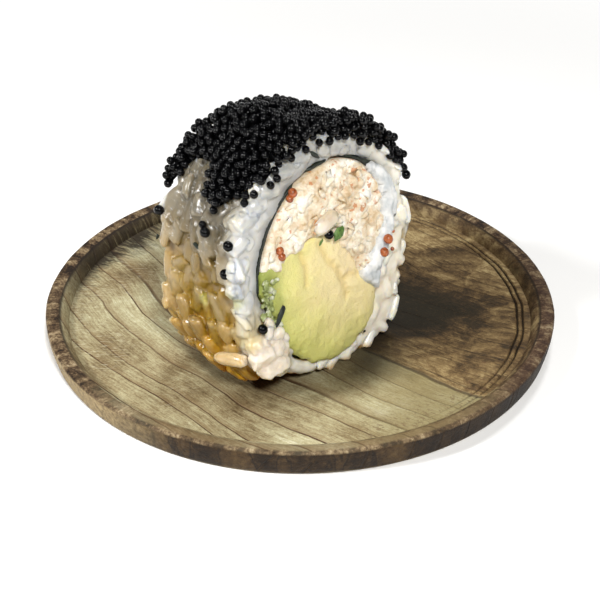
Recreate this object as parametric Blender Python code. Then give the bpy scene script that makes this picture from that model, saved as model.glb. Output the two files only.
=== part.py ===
"""One slice of inside-out sushi roll standing on a small round wooden board.

The slice lies with its axis level, so that its two cut faces stand upright. From the middle outwards it
holds avocado, crab salad and soft cheese, a sheet of seaweed round them, a thick layer of rice, and a cap
of black fish roe on top. Units are metres, +Z is up, and the origin is the middle of the board's underside.

Every piece of the slice is first described on its section: x runs to the right across the cut face and z
runs up from the section's centre. place() then carries a point of the section into the slice.
"""

import math

import bmesh
import bpy
from mathutils import Vector, noise

MM = 0.001

# The round board, turned from one piece of wood, with a raised rim.
BOARD_RADIUS = 50.0 * MM
BOARD_FOOT_RADIUS = 49.2 * MM
BOARD_HEIGHT = 5.4 * MM
BOARD_EDGE = 0.5 * MM
RIM_WIDTH = 2.4 * MM
FLOOR_HEIGHT = 2.8 * MM
FLOOR_RADIUS = 42.6 * MM
GROOVE_WIDTH = 1.1 * MM
GROOVE_DEPTH = 0.35 * MM
COVE_STEPS = 4
BOARD_STEPS = 72

# Where the slice stands on the board, and how far its cut face is turned to the right.
SLICE_X = -0.5 * MM
SLICE_Y = -12.5 * MM
SLICE_TURN = math.radians(43)

# The slice. Its cuts lean back a little, and its far end is lower than its near end.
SLICE_LENGTH = 22.0 * MM
CUT_LEAN = math.tan(math.radians(7))
CENTRE_HEIGHT = 22.0 * MM
FAR_HEIGHT_SHARE = 0.94

# Radii in millimetres, every 30 degrees anticlockwise from the right, about the section's centre.
RICE_NEAR_RADII = (21.2, 22.5, 22.6, 23.0, 22.5, 22.6, 21.1, 22.6, 22.2, 22.6, 25.4, 21.4)
RICE_FAR_RADII = (21.2, 21.8, 21.6, 22.4, 22.8, 21.8, 20.6, 23.8, 25.6, 22.6, 25.4, 21.4)
FILLING_RADII = (14.8, 18.6, 18.4, 18.0, 16.8, 16.1, 16.4, 15.6, 19.0, 20.5, 18.6, 12.9)

# The lower left edge spreads into a foot behind the near cut.
FOOT_ANGLE = math.radians(227)
FOOT_SPREAD = math.radians(17)
FOOT_REACH = 4.6 * MM
FOOT_START_SHARE = 0.22

# The layers between the filling and the rice.
GAP = 0.3 * MM
NORI_THICKNESS = 0.5 * MM
NORI_MIDDLE = 0.4 * MM
SEAM_START = math.radians(206)
SEAM_END = math.radians(228)

# How the three fillings share the section: two dividing lines, as x and z in millimetres.
AVOCADO_LEFT = math.radians(170)
AVOCADO_RIGHT = math.radians(-41)
CHEESE_TOP = math.radians(57)
AVOCADO_TOP_LINE = ((-11.0, 5.0), (-4.5, 5.6), (1.8, 4.4), (5.2, -1.4))
CHEESE_FOOT = (7.3, -5.8)
CHEESE_INNER_LINE = ((12.6, 11.5), (13.9, 6.5), (12.8, 1.0), (10.2, -3.4))

# Relief: grains of rice on the outside, and what stands out of the cuts.
GRAIN_RELIEF = 0.9 * MM
GRAIN_PITCH = 4.2 * MM
CUT_RELIEF = 0.5 * MM
BARREL = 0.5 * MM
EDGE_ROUND = 0.9 * MM
CLUMP_CENTRE = (-15.8 * MM, -12.3 * MM)
CLUMP_SPREAD = 4.5 * MM
CLUMP_HEIGHT = 2.8 * MM
AVOCADO_DOME = 0.7 * MM
CRAB_DOME = 0.5 * MM

# The cap of roe. Its two edges are angles on the section, at shares of the slice's length.
ROE_THICKNESS = 2.6 * MM
ROE_EDGE_THICKNESS = 1.4 * MM
ROE_OVERHANG = 0.5 * MM
ROE_RELIEF = 0.8 * MM
ROE_PITCH = 1.8 * MM
ROE_HOLLOW = 1.3 * MM
ROE_LEFT_EDGE = (
    (0.0, 124.0),
    (0.14, 131.0),
    (0.3, 141.0),
    (0.42, 141.0),
    (0.6, 124.0),
    (0.86, 124.0),
    (1.0, 140.0),
)
ROE_RIGHT_EDGE = ((0.0, 32.0), (0.3, 38.0), (0.6, 33.0), (0.85, 41.0), (1.0, 36.0))

ROUND_STEPS = 80
LENGTH_STEPS = 9
FILLING_STEPS = 6


def clear_scene():
    for obj in list(bpy.data.objects):
        bpy.data.objects.remove(obj)


def material(name, colour, roughness):
    made = bpy.data.materials.new(name)
    made.use_nodes = True
    shader = made.node_tree.nodes["Principled BSDF"]
    shader.inputs["Base Color"].default_value = (*colour, 1.0)
    shader.inputs["Roughness"].default_value = roughness
    shader.inputs["Metallic"].default_value = 0.0
    return made


def add_object(name, mesh_data, finish, parent=None):
    """Turns a bmesh into a named, smooth-shaded object with outward faces."""
    bmesh.ops.recalc_face_normals(mesh_data, faces=mesh_data.faces)
    if mesh_data.calc_volume(signed=True) < 0:
        bmesh.ops.reverse_faces(mesh_data, faces=mesh_data.faces)
    mesh = bpy.data.meshes.new(name)
    mesh_data.to_mesh(mesh)
    mesh_data.free()
    mesh.shade_smooth()
    mesh.set_sharp_from_angle(angle=math.radians(40))
    mesh.materials.append(finish)
    obj = bpy.data.objects.new(name, mesh)
    obj.parent = parent
    bpy.context.scene.collection.objects.link(obj)
    return obj


def blend(a, b, share):
    return a + (b - a) * share


def smooth_step(value):
    value = min(max(value, 0.0), 1.0)
    return value * value * (3 - 2 * value)


def spline_value(a, b, c, d, share):
    """Catmull-Rom curve from b to c, for numbers or vectors."""
    return (
        b
        + (c - a) * (share / 2)
        + (a * 2 - b * 5 + c * 4 - d) * (share**2 / 2)
        + (b * 3 - a - c * 3 + d) * (share**3 / 2)
    )


def polar_radius(radii, angle):
    """Radius in metres of a closed smooth outline given by evenly spaced radii in millimetres."""
    count = len(radii)
    turn = angle / math.tau * count
    first = math.floor(turn)
    around = [radii[(first + step) % count] for step in (-1, 0, 1, 2)]
    return spline_value(*around, turn - first) * MM


def on_section(radius, angle):
    return Vector((radius * math.cos(angle), radius * math.sin(angle)))


def line_through(points, steps):
    """A smooth open line through section points, with the given steps between neighbours."""
    padded = [points[0] * 2 - points[1], *points, points[-1] * 2 - points[-2]]
    line = []
    for first in range(len(points) - 1):
        for step in range(steps):
            line.append(spline_value(*padded[first : first + 4], step / steps))
    return [*line, points[-1]]


def place(point, share, forward=0.0):
    """A section point in the slice, at a share of its length, moved forward out of the near cut."""
    height_share = blend(1.0, FAR_HEIGHT_SHARE, share)
    height = max(CENTRE_HEIGHT + point.y, 0.0) * height_share
    depth = share * SLICE_LENGTH + CUT_LEAN * height - forward
    return Vector((point.x, depth, height))


def edge_angle(stations, share):
    """An edge of the roe, in radians, between stations of (share of the length, degrees)."""
    for (start, a), (end, b) in zip(stations, stations[1:]):
        if share <= end:
            return math.radians(blend(a, b, smooth_step((share - start) / (end - start))))
    return math.radians(stations[-1][1])


# --- the board ---


def board_profile():
    """Half of the board's outline, as radius and height, from the underside's centre to the floor's."""
    inner = BOARD_RADIUS - RIM_WIDTH
    cove_start = FLOOR_RADIUS + 2 * GROOVE_WIDTH
    points = [
        (0.0, 0.0),
        (BOARD_FOOT_RADIUS - BOARD_EDGE, 0.0),
        (BOARD_FOOT_RADIUS, BOARD_EDGE),
        (BOARD_RADIUS, BOARD_HEIGHT - BOARD_EDGE),
        (BOARD_RADIUS - BOARD_EDGE, BOARD_HEIGHT),
        (inner, BOARD_HEIGHT),
    ]
    for step in range(1, COVE_STEPS + 1):
        turn = math.radians(90) * step / COVE_STEPS
        radius = cove_start + (inner - cove_start) * (1 - math.sin(turn)) * 0.98
        height = FLOOR_HEIGHT + (BOARD_HEIGHT - FLOOR_HEIGHT) * math.cos(turn) ** 1.6
        points.append((radius, height))
    points += [
        (cove_start - GROOVE_WIDTH / 2, FLOOR_HEIGHT - GROOVE_DEPTH),
        (cove_start - GROOVE_WIDTH, FLOOR_HEIGHT),
        (FLOOR_RADIUS + GROOVE_WIDTH / 2, FLOOR_HEIGHT - GROOVE_DEPTH),
        (FLOOR_RADIUS, FLOOR_HEIGHT),
        (0.0, FLOOR_HEIGHT),
    ]
    return points


def make_board(finish):
    mesh = bmesh.new()
    corners = [mesh.verts.new((radius, 0.0, height)) for radius, height in board_profile()]
    edges = [mesh.edges.new(pair) for pair in zip(corners, corners[1:])]
    bmesh.ops.spin(
        mesh,
        geom=[*corners, *edges],
        axis=(0, 0, 1),
        cent=(0, 0, 0),
        angle=math.tau,
        steps=BOARD_STEPS,
    )
    bmesh.ops.remove_doubles(mesh, verts=mesh.verts, dist=0.01 * MM)
    return add_object("board", mesh, finish)


# --- loops of points joined into closed solids ---


def bridge(mesh, first, second):
    count = len(first)
    for index in range(count):
        following = (index + 1) % count
        mesh.faces.new((first[index], first[following], second[following], second[index]))


def tube_solid(loops):
    """A closed ring-shaped solid: each loop joins the next, and the last joins the first."""
    mesh = bmesh.new()
    rows = [[mesh.verts.new(point) for point in loop] for loop in loops]
    for row, following in zip(rows, [*rows[1:], rows[0]]):
        bridge(mesh, row, following)
    return mesh


def bar_solid(loops):
    """A closed solid along its loops, with a face at each end."""
    mesh = bmesh.new()
    rows = [[mesh.verts.new(point) for point in loop] for loop in loops]
    for row, following in zip(rows, rows[1:]):
        bridge(mesh, row, following)
    mesh.faces.new(rows[0])
    mesh.faces.new(rows[-1])
    return mesh


# --- rice ---


def grain_relief(point):
    """Height of the grains' backs at a point of the rice's outside: ridges that stand up the side."""
    stretched = Vector((point.x, point.y * 1.3, point.z * 0.62)) / GRAIN_PITCH
    nearest = noise.voronoi(stretched)[0]
    return GRAIN_RELIEF * (0.6 - min(nearest[0], 1.0))


def foot_reach(angle, share):
    """How far the foot stands out of the side: nothing at the near cut, most a little behind it."""
    across = ((angle % math.tau) - FOOT_ANGLE) / FOOT_SPREAD
    along = smooth_step(share / FOOT_START_SHARE) * blend(1.0, 0.25, share)
    return FOOT_REACH * math.exp(-(across**2)) * along


def rice_radius(angle, share):
    near = polar_radius(RICE_NEAR_RADII, angle)
    far = polar_radius(RICE_FAR_RADII, angle)
    barrel = BARREL * math.sin(math.pi * share)
    return blend(near, far, share) + barrel + foot_reach(angle, share)


def rice_inner_radius(angle):
    """The hole in the rice: clear of the seaweed, and closed in where the sheet's two ends don't meet."""
    middle = (SEAM_START + SEAM_END) / 2
    half_width = (SEAM_END - SEAM_START) / 2
    away = abs((angle - middle + math.pi) % math.tau - math.pi)
    seaweed = NORI_THICKNESS + GAP
    open_share = smooth_step((away - half_width / 3) / (half_width * 2 / 3))
    return polar_radius(FILLING_RADII, angle) - NORI_MIDDLE + GAP + seaweed * open_share


def clump_height(point):
    """How far the loose grains at the foot of the near cut stand out of it."""
    reach = (point - Vector(CLUMP_CENTRE)).length / CLUMP_SPREAD
    return CLUMP_HEIGHT * math.exp(-(reach**2))


def rice_cut_loop(angles, across, share, outward):
    """A loop on a cut, at a share of the way from the hole to the outside."""
    loop = []
    for angle in angles:
        outer = rice_radius(angle, share) - EDGE_ROUND / 2
        point = on_section(blend(rice_inner_radius(angle), outer, across), angle)
        rough = CUT_RELIEF * noise.noise(Vector((point.x, point.y, share * MM)) / (3 * MM))
        if outward > 0:
            rough += clump_height(point)
        loop.append(place(point, share, outward * rough))
    return loop


def rice_side_loop(angles, share):
    loop = []
    for angle in angles:
        radius = rice_radius(angle, share)
        relief = grain_relief(place(on_section(radius, angle), share))
        loop.append(place(on_section(radius + relief, angle), share))
    return loop


def make_rice(finish, slice_frame):
    angles = [math.tau * step / ROUND_STEPS for step in range(ROUND_STEPS)]
    round_share = EDGE_ROUND / SLICE_LENGTH
    loops = [rice_cut_loop(angles, across, 0.0, 1) for across in (0.0, 0.35, 0.7, 1.0)]
    for step in range(LENGTH_STEPS + 1):
        share = blend(round_share, 1 - round_share, step / LENGTH_STEPS)
        loops.append(rice_side_loop(angles, share))
    loops += [rice_cut_loop(angles, across, 1.0, -1) for across in (1.0, 0.5, 0.0)]
    return add_object("rice", tube_solid(loops), finish, slice_frame)


# --- seaweed ---


def make_nori(finish, slice_frame):
    """One sheet wrapped round the filling, whose two ends leave a seam at the lower left."""
    around = ROUND_STEPS
    start = SEAM_START
    end = SEAM_END - math.tau
    angles = [blend(start, end, step / around) for step in range(around + 1)]

    def radius(angle):
        return polar_radius(FILLING_RADII, angle) - NORI_MIDDLE + GAP

    section = [on_section(radius(angle), angle) for angle in angles]
    section += [on_section(radius(angle) + NORI_THICKNESS, angle) for angle in reversed(angles)]
    loops = [[place(point, share) for point in section] for share in (0.0, 1.0)]
    return add_object("nori", bar_solid(loops), finish, slice_frame)


# --- fillings ---


def filling_point(angle):
    return on_section(polar_radius(FILLING_RADII, angle) - NORI_MIDDLE, angle)


def filling_arc(start, end):
    """Points of the filling's outline from one angle to another, both included."""
    steps = max(2, round(abs(end - start) / math.tau * ROUND_STEPS))
    return [filling_point(blend(start, end, step / steps)) for step in range(steps + 1)]


def drawn_in(outline, distance):
    """A closed outline moved inwards by a distance, whichever way round it runs."""
    count = len(outline)
    area = sum(outline[i - 1].cross(outline[i]) for i in range(count))
    turn = 1.0 if area > 0 else -1.0
    moved = []
    for index in range(count):
        along = (outline[(index + 1) % count] - outline[index - 1]).normalized()
        moved.append(outline[index] + Vector((-along.y, along.x)) * (distance * turn))
    return moved


def filling_sections():
    """The outlines of the avocado, the crab salad and the cheese, which share the filling's section."""
    left, right = filling_point(AVOCADO_LEFT), filling_point(AVOCADO_RIGHT)
    top_line = [Vector(point) * MM for point in AVOCADO_TOP_LINE]
    inner_line = [Vector(point) * MM for point in CHEESE_INNER_LINE]
    foot = Vector(CHEESE_FOOT) * MM
    divide = line_through([left, *top_line, foot, right], FILLING_STEPS)
    cheese_inner = line_through([filling_point(CHEESE_TOP), *inner_line, foot], FILLING_STEPS)
    to_foot = divide[: -FILLING_STEPS]
    past_foot = divide[-FILLING_STEPS - 1 :]
    below = filling_arc(AVOCADO_RIGHT, AVOCADO_LEFT - math.tau)
    above = filling_arc(AVOCADO_LEFT, CHEESE_TOP)
    beside = filling_arc(CHEESE_TOP, AVOCADO_RIGHT)
    avocado = below[:-1] + divide[:-1]
    crab = above[:-1] + cheese_inner[:-1] + to_foot[:0:-1]
    cheese = beside[:-1] + past_foot[:0:-1] + cheese_inner[:0:-1]
    return [drawn_in(outline, GAP / 2) for outline in (avocado, crab, cheese)]


def domed_loops(section, middle, dome, share, outward):
    """Loops from the edge of a cut to near its middle, standing out of it like a shallow dome."""
    loops = []
    for scale in (1.0, 0.93, 0.7, 0.35):
        rise = dome * math.sqrt(1 - scale**2)
        loop = []
        for point in section:
            moved = middle + (point - middle) * scale
            rough = 0.4 * dome * noise.noise(Vector((moved.x, moved.y, share * MM)) / (4 * MM))
            loop.append(place(moved, share, outward * (rise + rough * (1 - scale))))
        loops.append(loop)
    return loops


def make_domed_filling(name, section, middle, dome, finish, slice_frame):
    near = domed_loops(section, middle, dome, 0.0, 1)
    far = domed_loops(section, middle, dome, 1.0, -1)
    return add_object(name, bar_solid([*near[::-1], *far]), finish, slice_frame)


def make_cheese(section, finish, slice_frame):
    loops = [[place(point, share) for point in section] for share in (0.0, 1.0)]
    return add_object("cream_cheese", bar_solid(loops), finish, slice_frame)


def make_fillings(finishes, slice_frame):
    avocado, crab, cheese = filling_sections()
    avocado_middle = Vector((-1.0, -8.0)) * MM
    crab_middle = Vector((4.5, 8.5)) * MM
    make_domed_filling("avocado", avocado, avocado_middle, AVOCADO_DOME, finishes["avocado"], slice_frame)
    make_domed_filling("crab_salad", crab, crab_middle, CRAB_DOME, finishes["crab"], slice_frame)
    make_cheese(cheese, finishes["cheese"], slice_frame)


# --- roe ---


def roe_thickness(across, share):
    """Thickness of the roe, thinnest along its edges and hollowed to the right of its crest."""
    from_side = min(across, 1 - across) * 6
    from_end = min(share, 1 - share) * 5
    fullness = smooth_step(from_side) * smooth_step(0.35 + from_end)
    from_hollow = ((across - 0.18) / 0.2) ** 2 + ((share - 0.42) / 0.26) ** 2
    return blend(ROE_EDGE_THICKNESS, ROE_THICKNESS, fullness) - ROE_HOLLOW * math.exp(-from_hollow)


def roe_point(across, share, on_top):
    start = edge_angle(ROE_RIGHT_EDGE, share)
    end = edge_angle(ROE_LEFT_EDGE, share)
    angle = blend(start, end, across)
    radius = rice_radius(angle, share) + 0.6 * GRAIN_RELIEF + GAP
    forward = ROE_OVERHANG * (1 - share)
    if on_top:
        radius += roe_thickness(across, share)
        beads = noise.voronoi(place(on_section(radius, angle), share) / ROE_PITCH)[0]
        radius += ROE_RELIEF * (0.5 - min(beads[0], 1.0))
    return place(on_section(radius, angle), share, forward)


def make_roe(finish, slice_frame):
    """A cap whose top and underside are grids of points, stitched round their borders."""
    across_steps, length_steps = 34, 14
    mesh = bmesh.new()
    layers = []
    for on_top in (True, False):
        grid = []
        for row in range(length_steps + 1):
            share = row / length_steps
            shares = [column / across_steps for column in range(across_steps + 1)]
            grid.append([mesh.verts.new(roe_point(across, share, on_top)) for across in shares])
        for row, following in zip(grid, grid[1:]):
            for column in range(across_steps):
                corners = row[column], row[column + 1], following[column + 1], following[column]
                mesh.faces.new(corners)
        right = [row[0] for row in grid[-2:0:-1]]
        left = [row[-1] for row in grid[1:-1]]
        layers.append([*grid[0], *left, *grid[-1][::-1], *right])
    bridge(mesh, *layers)
    return add_object("black_roe", mesh, finish, slice_frame)


def main():
    clear_scene()
    finishes = {
        "wood": material("wood", (0.34, 0.27, 0.15), 0.6),
        "rice": material("rice", (0.80, 0.76, 0.66), 0.4),
        "seaweed": material("seaweed", (0.02, 0.03, 0.02), 0.5),
        "avocado": material("avocado", (0.68, 0.70, 0.28), 0.45),
        "crab": material("crab", (0.82, 0.68, 0.50), 0.55),
        "cheese": material("cheese", (0.88, 0.87, 0.82), 0.4),
        "roe": material("roe", (0.01, 0.01, 0.012), 0.15),
    }
    make_board(finishes["wood"])
    slice_frame = bpy.data.objects.new("slice_frame", None)
    bpy.context.scene.collection.objects.link(slice_frame)
    slice_frame.rotation_euler = (0, 0, SLICE_TURN)
    back_to_near_cut = Vector((math.sin(SLICE_TURN), -math.cos(SLICE_TURN), 0)) * (SLICE_LENGTH / 2)
    slice_frame.location = Vector((SLICE_X, SLICE_Y, FLOOR_HEIGHT + GAP)) + back_to_near_cut
    make_rice(finishes["rice"], slice_frame)
    make_nori(finishes["seaweed"], slice_frame)
    make_fillings(finishes, slice_frame)
    make_roe(finishes["roe"], slice_frame)


main()
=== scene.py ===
# %% [markdown]
# # A slice of inside-out sushi roll on its board
#
# The object is one thick slice of uramaki: avocado, crab salad and soft cheese, wrapped in seaweed, then in
# rice, and topped with black fish roe. It stands on a small round wooden board. Its exact solids come from
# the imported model, which is the frame here. This lesson dresses each solid: the board gets its grain, the
# rice gets its grains, and the roe gets its beads.

# %% Load the frame
import math
import random

import bmesh
import bpy
import numpy as np
from mathutils import Matrix, Vector, noise
from mathutils.bvhtree import BVHTree


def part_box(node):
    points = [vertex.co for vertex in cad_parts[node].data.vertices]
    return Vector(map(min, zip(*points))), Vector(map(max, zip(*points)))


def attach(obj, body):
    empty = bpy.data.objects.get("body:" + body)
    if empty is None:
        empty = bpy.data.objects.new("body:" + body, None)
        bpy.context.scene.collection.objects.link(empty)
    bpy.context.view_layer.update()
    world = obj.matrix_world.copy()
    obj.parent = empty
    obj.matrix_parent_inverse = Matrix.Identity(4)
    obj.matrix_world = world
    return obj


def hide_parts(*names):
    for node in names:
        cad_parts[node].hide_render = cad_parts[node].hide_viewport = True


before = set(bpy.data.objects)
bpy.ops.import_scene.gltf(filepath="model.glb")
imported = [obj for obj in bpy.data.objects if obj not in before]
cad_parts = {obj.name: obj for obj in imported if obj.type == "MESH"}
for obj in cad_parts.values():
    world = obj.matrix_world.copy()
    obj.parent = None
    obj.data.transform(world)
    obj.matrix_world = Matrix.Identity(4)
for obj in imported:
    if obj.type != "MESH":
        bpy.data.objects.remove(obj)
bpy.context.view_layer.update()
MM = 0.001
print("solids in the frame:", ", ".join(sorted(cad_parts)))

# %% [markdown]
# ## The camera, the floor and the light
#
# A long lens from a little above suits food: it keeps the board's ellipse calm. The camera could be aimed
# with a constraint, but its place is easy to work out from an elevation, a distance and the point that it
# looks at, and then nothing in the scene depends on another object.

# %% Camera
CAMERA_ELEVATION = math.radians(32.6)
CAMERA_DISTANCE = 281.9 * MM
LOOK_AT = Vector((0.0, 0.0, 4.2 * MM))


def add_camera():
    lens = bpy.data.cameras.new("camera")
    lens.lens = 85
    lens.sensor_width = 36
    lens.clip_start = 0.01
    camera = bpy.data.objects.new("camera", lens)
    bpy.context.scene.collection.objects.link(camera)
    back = Vector((0, -math.cos(CAMERA_ELEVATION), math.sin(CAMERA_ELEVATION)))
    camera.location = LOOK_AT + back * CAMERA_DISTANCE
    camera.rotation_euler = (math.radians(90) - CAMERA_ELEVATION, 0, 0)
    bpy.context.scene.camera = camera
    return camera


print("camera stands at", [round(value, 3) for value in add_camera().location])

# %% [markdown]
# The key light stands in front and high up. A weaker one at the left throws the roll's shadow to the right.
# Both are small area lights close by, because each wet bead mirrors them as a bright spot. The light from
# behind, which draws a bright edge on the roe, is a sun lamp: it lights the floor evenly far out, where an
# area light would leave a bright patch.

# %% Light
LIGHT_DISTANCE = 0.55


def way_to(azimuth, elevation):
    """The direction of a light in degrees. Azimuth 0 is in front of the board, and 90 at its right."""
    turn = math.radians(azimuth)
    rise = math.radians(elevation)
    return Vector((math.cos(rise) * math.sin(turn), -math.cos(rise) * math.cos(turn), math.sin(rise)))


def hang(lamp, way):
    """Hangs a lamp that way from the board, aimed at it."""
    light = bpy.data.objects.new(lamp.name, lamp)
    bpy.context.scene.collection.objects.link(light)
    light.location = way * LIGHT_DISTANCE
    light.rotation_euler = (-way).to_track_quat("-Z", "Y").to_euler()
    return light


def add_area_light(name, way, size, power, tint=(1, 1, 1)):
    lamp = bpy.data.lights.new(name, "AREA")
    lamp.shape = "RECTANGLE"
    lamp.size, lamp.size_y = size
    lamp.energy = power
    lamp.color = tint
    return hang(lamp, way)


def add_sun(way, strength):
    lamp = bpy.data.lights.new("sun", "SUN")
    lamp.energy = strength
    lamp.angle = math.radians(12)
    return hang(lamp, way)


add_area_light("key", way_to(12, 47), (0.085, 0.095), 2.75, (1.0, 0.985, 0.96))
add_area_light("left", way_to(-66, 40), (0.07, 0.07), 2.1)
add_sun(way_to(165, 62), 1.1)

scene = bpy.context.scene
scene.view_settings.view_transform = "Standard"

# %% [markdown]
# ## Writing materials
#
# A material is a graph of nodes. Written out one node at a time it is long and hard to read, so two small
# classes help. A Signal wraps a socket and takes Python's arithmetic, so 1 - mask adds the Math node that
# it needs. A Finish holds one material, and its node method adds any other node.

# %% Signals and finishes
class Signal:
    def __init__(self, finish, socket):
        self.finish = finish
        self.socket = socket

    def math(self, operation, *values):
        return self.finish.node("ShaderNodeMath", {"operation": operation}, dict(enumerate(values)))

    def __add__(self, other):
        return self.math("ADD", self, other)

    def __sub__(self, other):
        return self.math("SUBTRACT", self, other)

    def __rsub__(self, other):
        return self.math("SUBTRACT", other, self)

    def __mul__(self, other):
        return self.math("MULTIPLY", self, other)

    def __truediv__(self, other):
        return self.math("DIVIDE", self, other)

    def __pow__(self, other):
        return self.math("POWER", self, other)

    __radd__ = __add__
    __rmul__ = __mul__

    def fraction(self):
        return self.math("FRACT", self)

    def largest(self, other):
        return self.math("MAXIMUM", self, other)

    def size(self):
        return self.math("ABSOLUTE", self)

    def rise(self, low, high, start=0.0, end=1.0):
        """Goes smoothly from start to end while the signal goes from low to high."""
        inputs = {"Value": self, "From Min": low, "From Max": high, "To Min": start, "To Max": end}
        return self.finish.node("ShaderNodeMapRange", {"interpolation_type": "SMOOTHSTEP"}, inputs)


def colour(red, green, blue):
    """A colour in the linear numbers that Blender uses, from the 0 to 255 of a paint program."""
    shares = [channel / 255 for channel in (red, green, blue)]
    return (*[s / 12.92 if s <= 0.04045 else ((s + 0.055) / 1.055) ** 2.4 for s in shares], 1.0)


class Finish:
    def __init__(self, name, constants):
        self.material = bpy.data.materials.new(name)
        self.material.use_nodes = True
        self.tree = self.material.node_tree
        self.shader = self.tree.nodes["Principled BSDF"]
        for socket, value in constants.items():
            self.shader.inputs[socket].default_value = value

    def feed(self, socket, value):
        if isinstance(value, Signal):
            self.tree.links.new(value.socket, socket)
        else:
            socket.default_value = value

    def node(self, kind, settings, inputs, output=0):
        """Adds a node: its settings first, then what its sockets take, and gives back an output."""
        made = self.tree.nodes.new(kind)
        stops = settings.pop("stops", None)
        for setting, value in settings.items():
            setattr(made, setting, value)
        if stops:
            ramp = made.color_ramp
            while len(ramp.elements) < len(stops):
                ramp.elements.new(0.5)
            for element, (position, shade) in zip(ramp.elements, stops):
                element.position = position
                element.color = shade
        for socket, value in inputs.items():
            self.feed(made.inputs[socket], value)
        return Signal(self, made.outputs[output])

    def surface(self, **inputs):
        """Feeds the shader. Base_Color stands for the socket Base Color, and so on."""
        for socket, value in inputs.items():
            self.feed(self.shader.inputs[socket.replace("_", " ")], value)

    def place(self, location=(0, 0, 0), turn=0.0):
        """The point on the object in millimetres, seen from a place and a turn about the vertical."""
        point = self.node("ShaderNodeTexCoord", {}, {}, "Object")
        mapping = {"Vector": point, "Location": location, "Rotation": (0, 0, turn), "Scale": (MM, MM, MM)}
        return self.node("ShaderNodeMapping", {"vector_type": "TEXTURE"}, mapping)

    def axes(self, point):
        inputs = {"Vector": point}
        return [self.node("ShaderNodeSeparateXYZ", {}, inputs, axis) for axis in ("X", "Y", "Z")]

    def vector(self, x, y, z):
        return self.node("ShaderNodeCombineXYZ", {}, {"X": x, "Y": y, "Z": z})

    def noise(self, point, size, detail=3.0, roughness=0.55):
        """Cloudy noise from 0 to 1, whose clouds are about the given number of millimetres."""
        inputs = {"Vector": point, "Scale": 1 / size, "Detail": detail, "Roughness": roughness}
        return self.node("ShaderNodeTexNoise", {}, inputs, "Fac")

    def blend(self, factor, first, second):
        settings = {"data_type": "RGBA"}
        return self.node("ShaderNodeMix", settings, {0: factor, 6: first, 7: second}, 2)

    def ramp(self, factor, *stops):
        return self.node("ShaderNodeValToRGB", {"stops": stops}, {"Fac": factor}, "Color")

    def painted(self, name):
        """A number that was stored at each vertex."""
        return self.node("ShaderNodeAttribute", {"attribute_name": name}, {}, "Fac")

    def bump(self, height, depth, strength=1.0):
        """Relief of the given depth in millimetres."""
        inputs = {"Height": height, "Distance": depth * MM, "Strength": strength}
        self.feed(self.shader.inputs["Normal"], self.node("ShaderNodeBump", {}, inputs))


print("a middle grey is", round(colour(128, 128, 128)[0], 3))

# %% [markdown]
# ## The floor and what is behind it
#
# The floor is a plain sheet of paper. The world behind it is brightest low down, as a studio backdrop is,
# and dim above. With a bright sky the black beads would look grey, because they mirror all of it. The lamps
# are too close to light the far end of the paper, so the paper glows a little out there and stays white up
# to the horizon.

# %% Backdrop
BAND_LIGHT = 0.4
SKY_LIGHT = 0.1
BAND_TOP = 0.12


def add_backdrop():
    world = bpy.data.worlds.new("studio")
    world.use_nodes = True
    scene.world = world
    tree = world.node_tree
    way = tree.nodes.new("ShaderNodeTexCoord")
    height = tree.nodes.new("ShaderNodeSeparateXYZ")
    ramp = tree.nodes.new("ShaderNodeValToRGB")
    stops = ((0.0, BAND_LIGHT), (BAND_TOP, SKY_LIGHT))
    for element, (position, light) in zip(ramp.color_ramp.elements, stops):
        element.position = position
        element.color = (light, light, light, 1)
    tree.links.new(way.outputs["Generated"], height.inputs["Vector"])
    tree.links.new(height.outputs["Z"], ramp.inputs["Fac"])
    tree.links.new(ramp.outputs["Color"], tree.nodes["Background"].inputs["Color"])
    return world


print("the world is called", add_backdrop().name)

# %% [markdown]
# The paper is a plane. Its glow fades in with the distance from the board, in millimetres.

# %% Floor
GLOW_START = 130
GLOW_FULL = 400


def paper_finish():
    constants = {"Base Color": colour(244, 244, 243), "Roughness": 0.9, "Emission Strength": 1.0}
    paper = Finish("paper", constants)
    x, y, _ = paper.axes(paper.place())
    glow = ((x * x + y * y) ** 0.5).rise(GLOW_START, GLOW_FULL, 0.0, 0.7)
    paper.surface(Emission_Color=paper.blend(glow, colour(0, 0, 0), colour(255, 255, 255)))
    return paper


def add_floor():
    bpy.ops.object.select_all(action="DESELECT")
    bpy.ops.mesh.primitive_plane_add(size=6.0, location=(0, 0, 0))
    floor = bpy.context.object
    floor.name = "floor"
    floor.data.materials.append(paper_finish().material)
    return floor


print("floor is", round(add_floor().dimensions.x, 1), "m wide")

# %% [markdown]
# ## The board
#
# The real board is turned from one piece of wood: a thin disc with a raised rim, a cove inside the rim and
# two fine grooves where the cove meets the floor. It could be a Screw or a spun profile. Here a disc is
# extruded and resized step by step along its profile, as one would by hand, because the disc's last face is
# then the floor.

# %% Board profile
RIM_STEPS = 256
BOARD_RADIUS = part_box("board")[1].x / MM
BOARD_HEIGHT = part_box("board")[1].z / MM
FLOOR_HEIGHT = 2.8
RIM_INNER = BOARD_RADIUS - 2.4
COVE_FOOT = 45.6
GROOVES = (44.25, 43.1)
FOOT_RADIUS = 48.6


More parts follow.
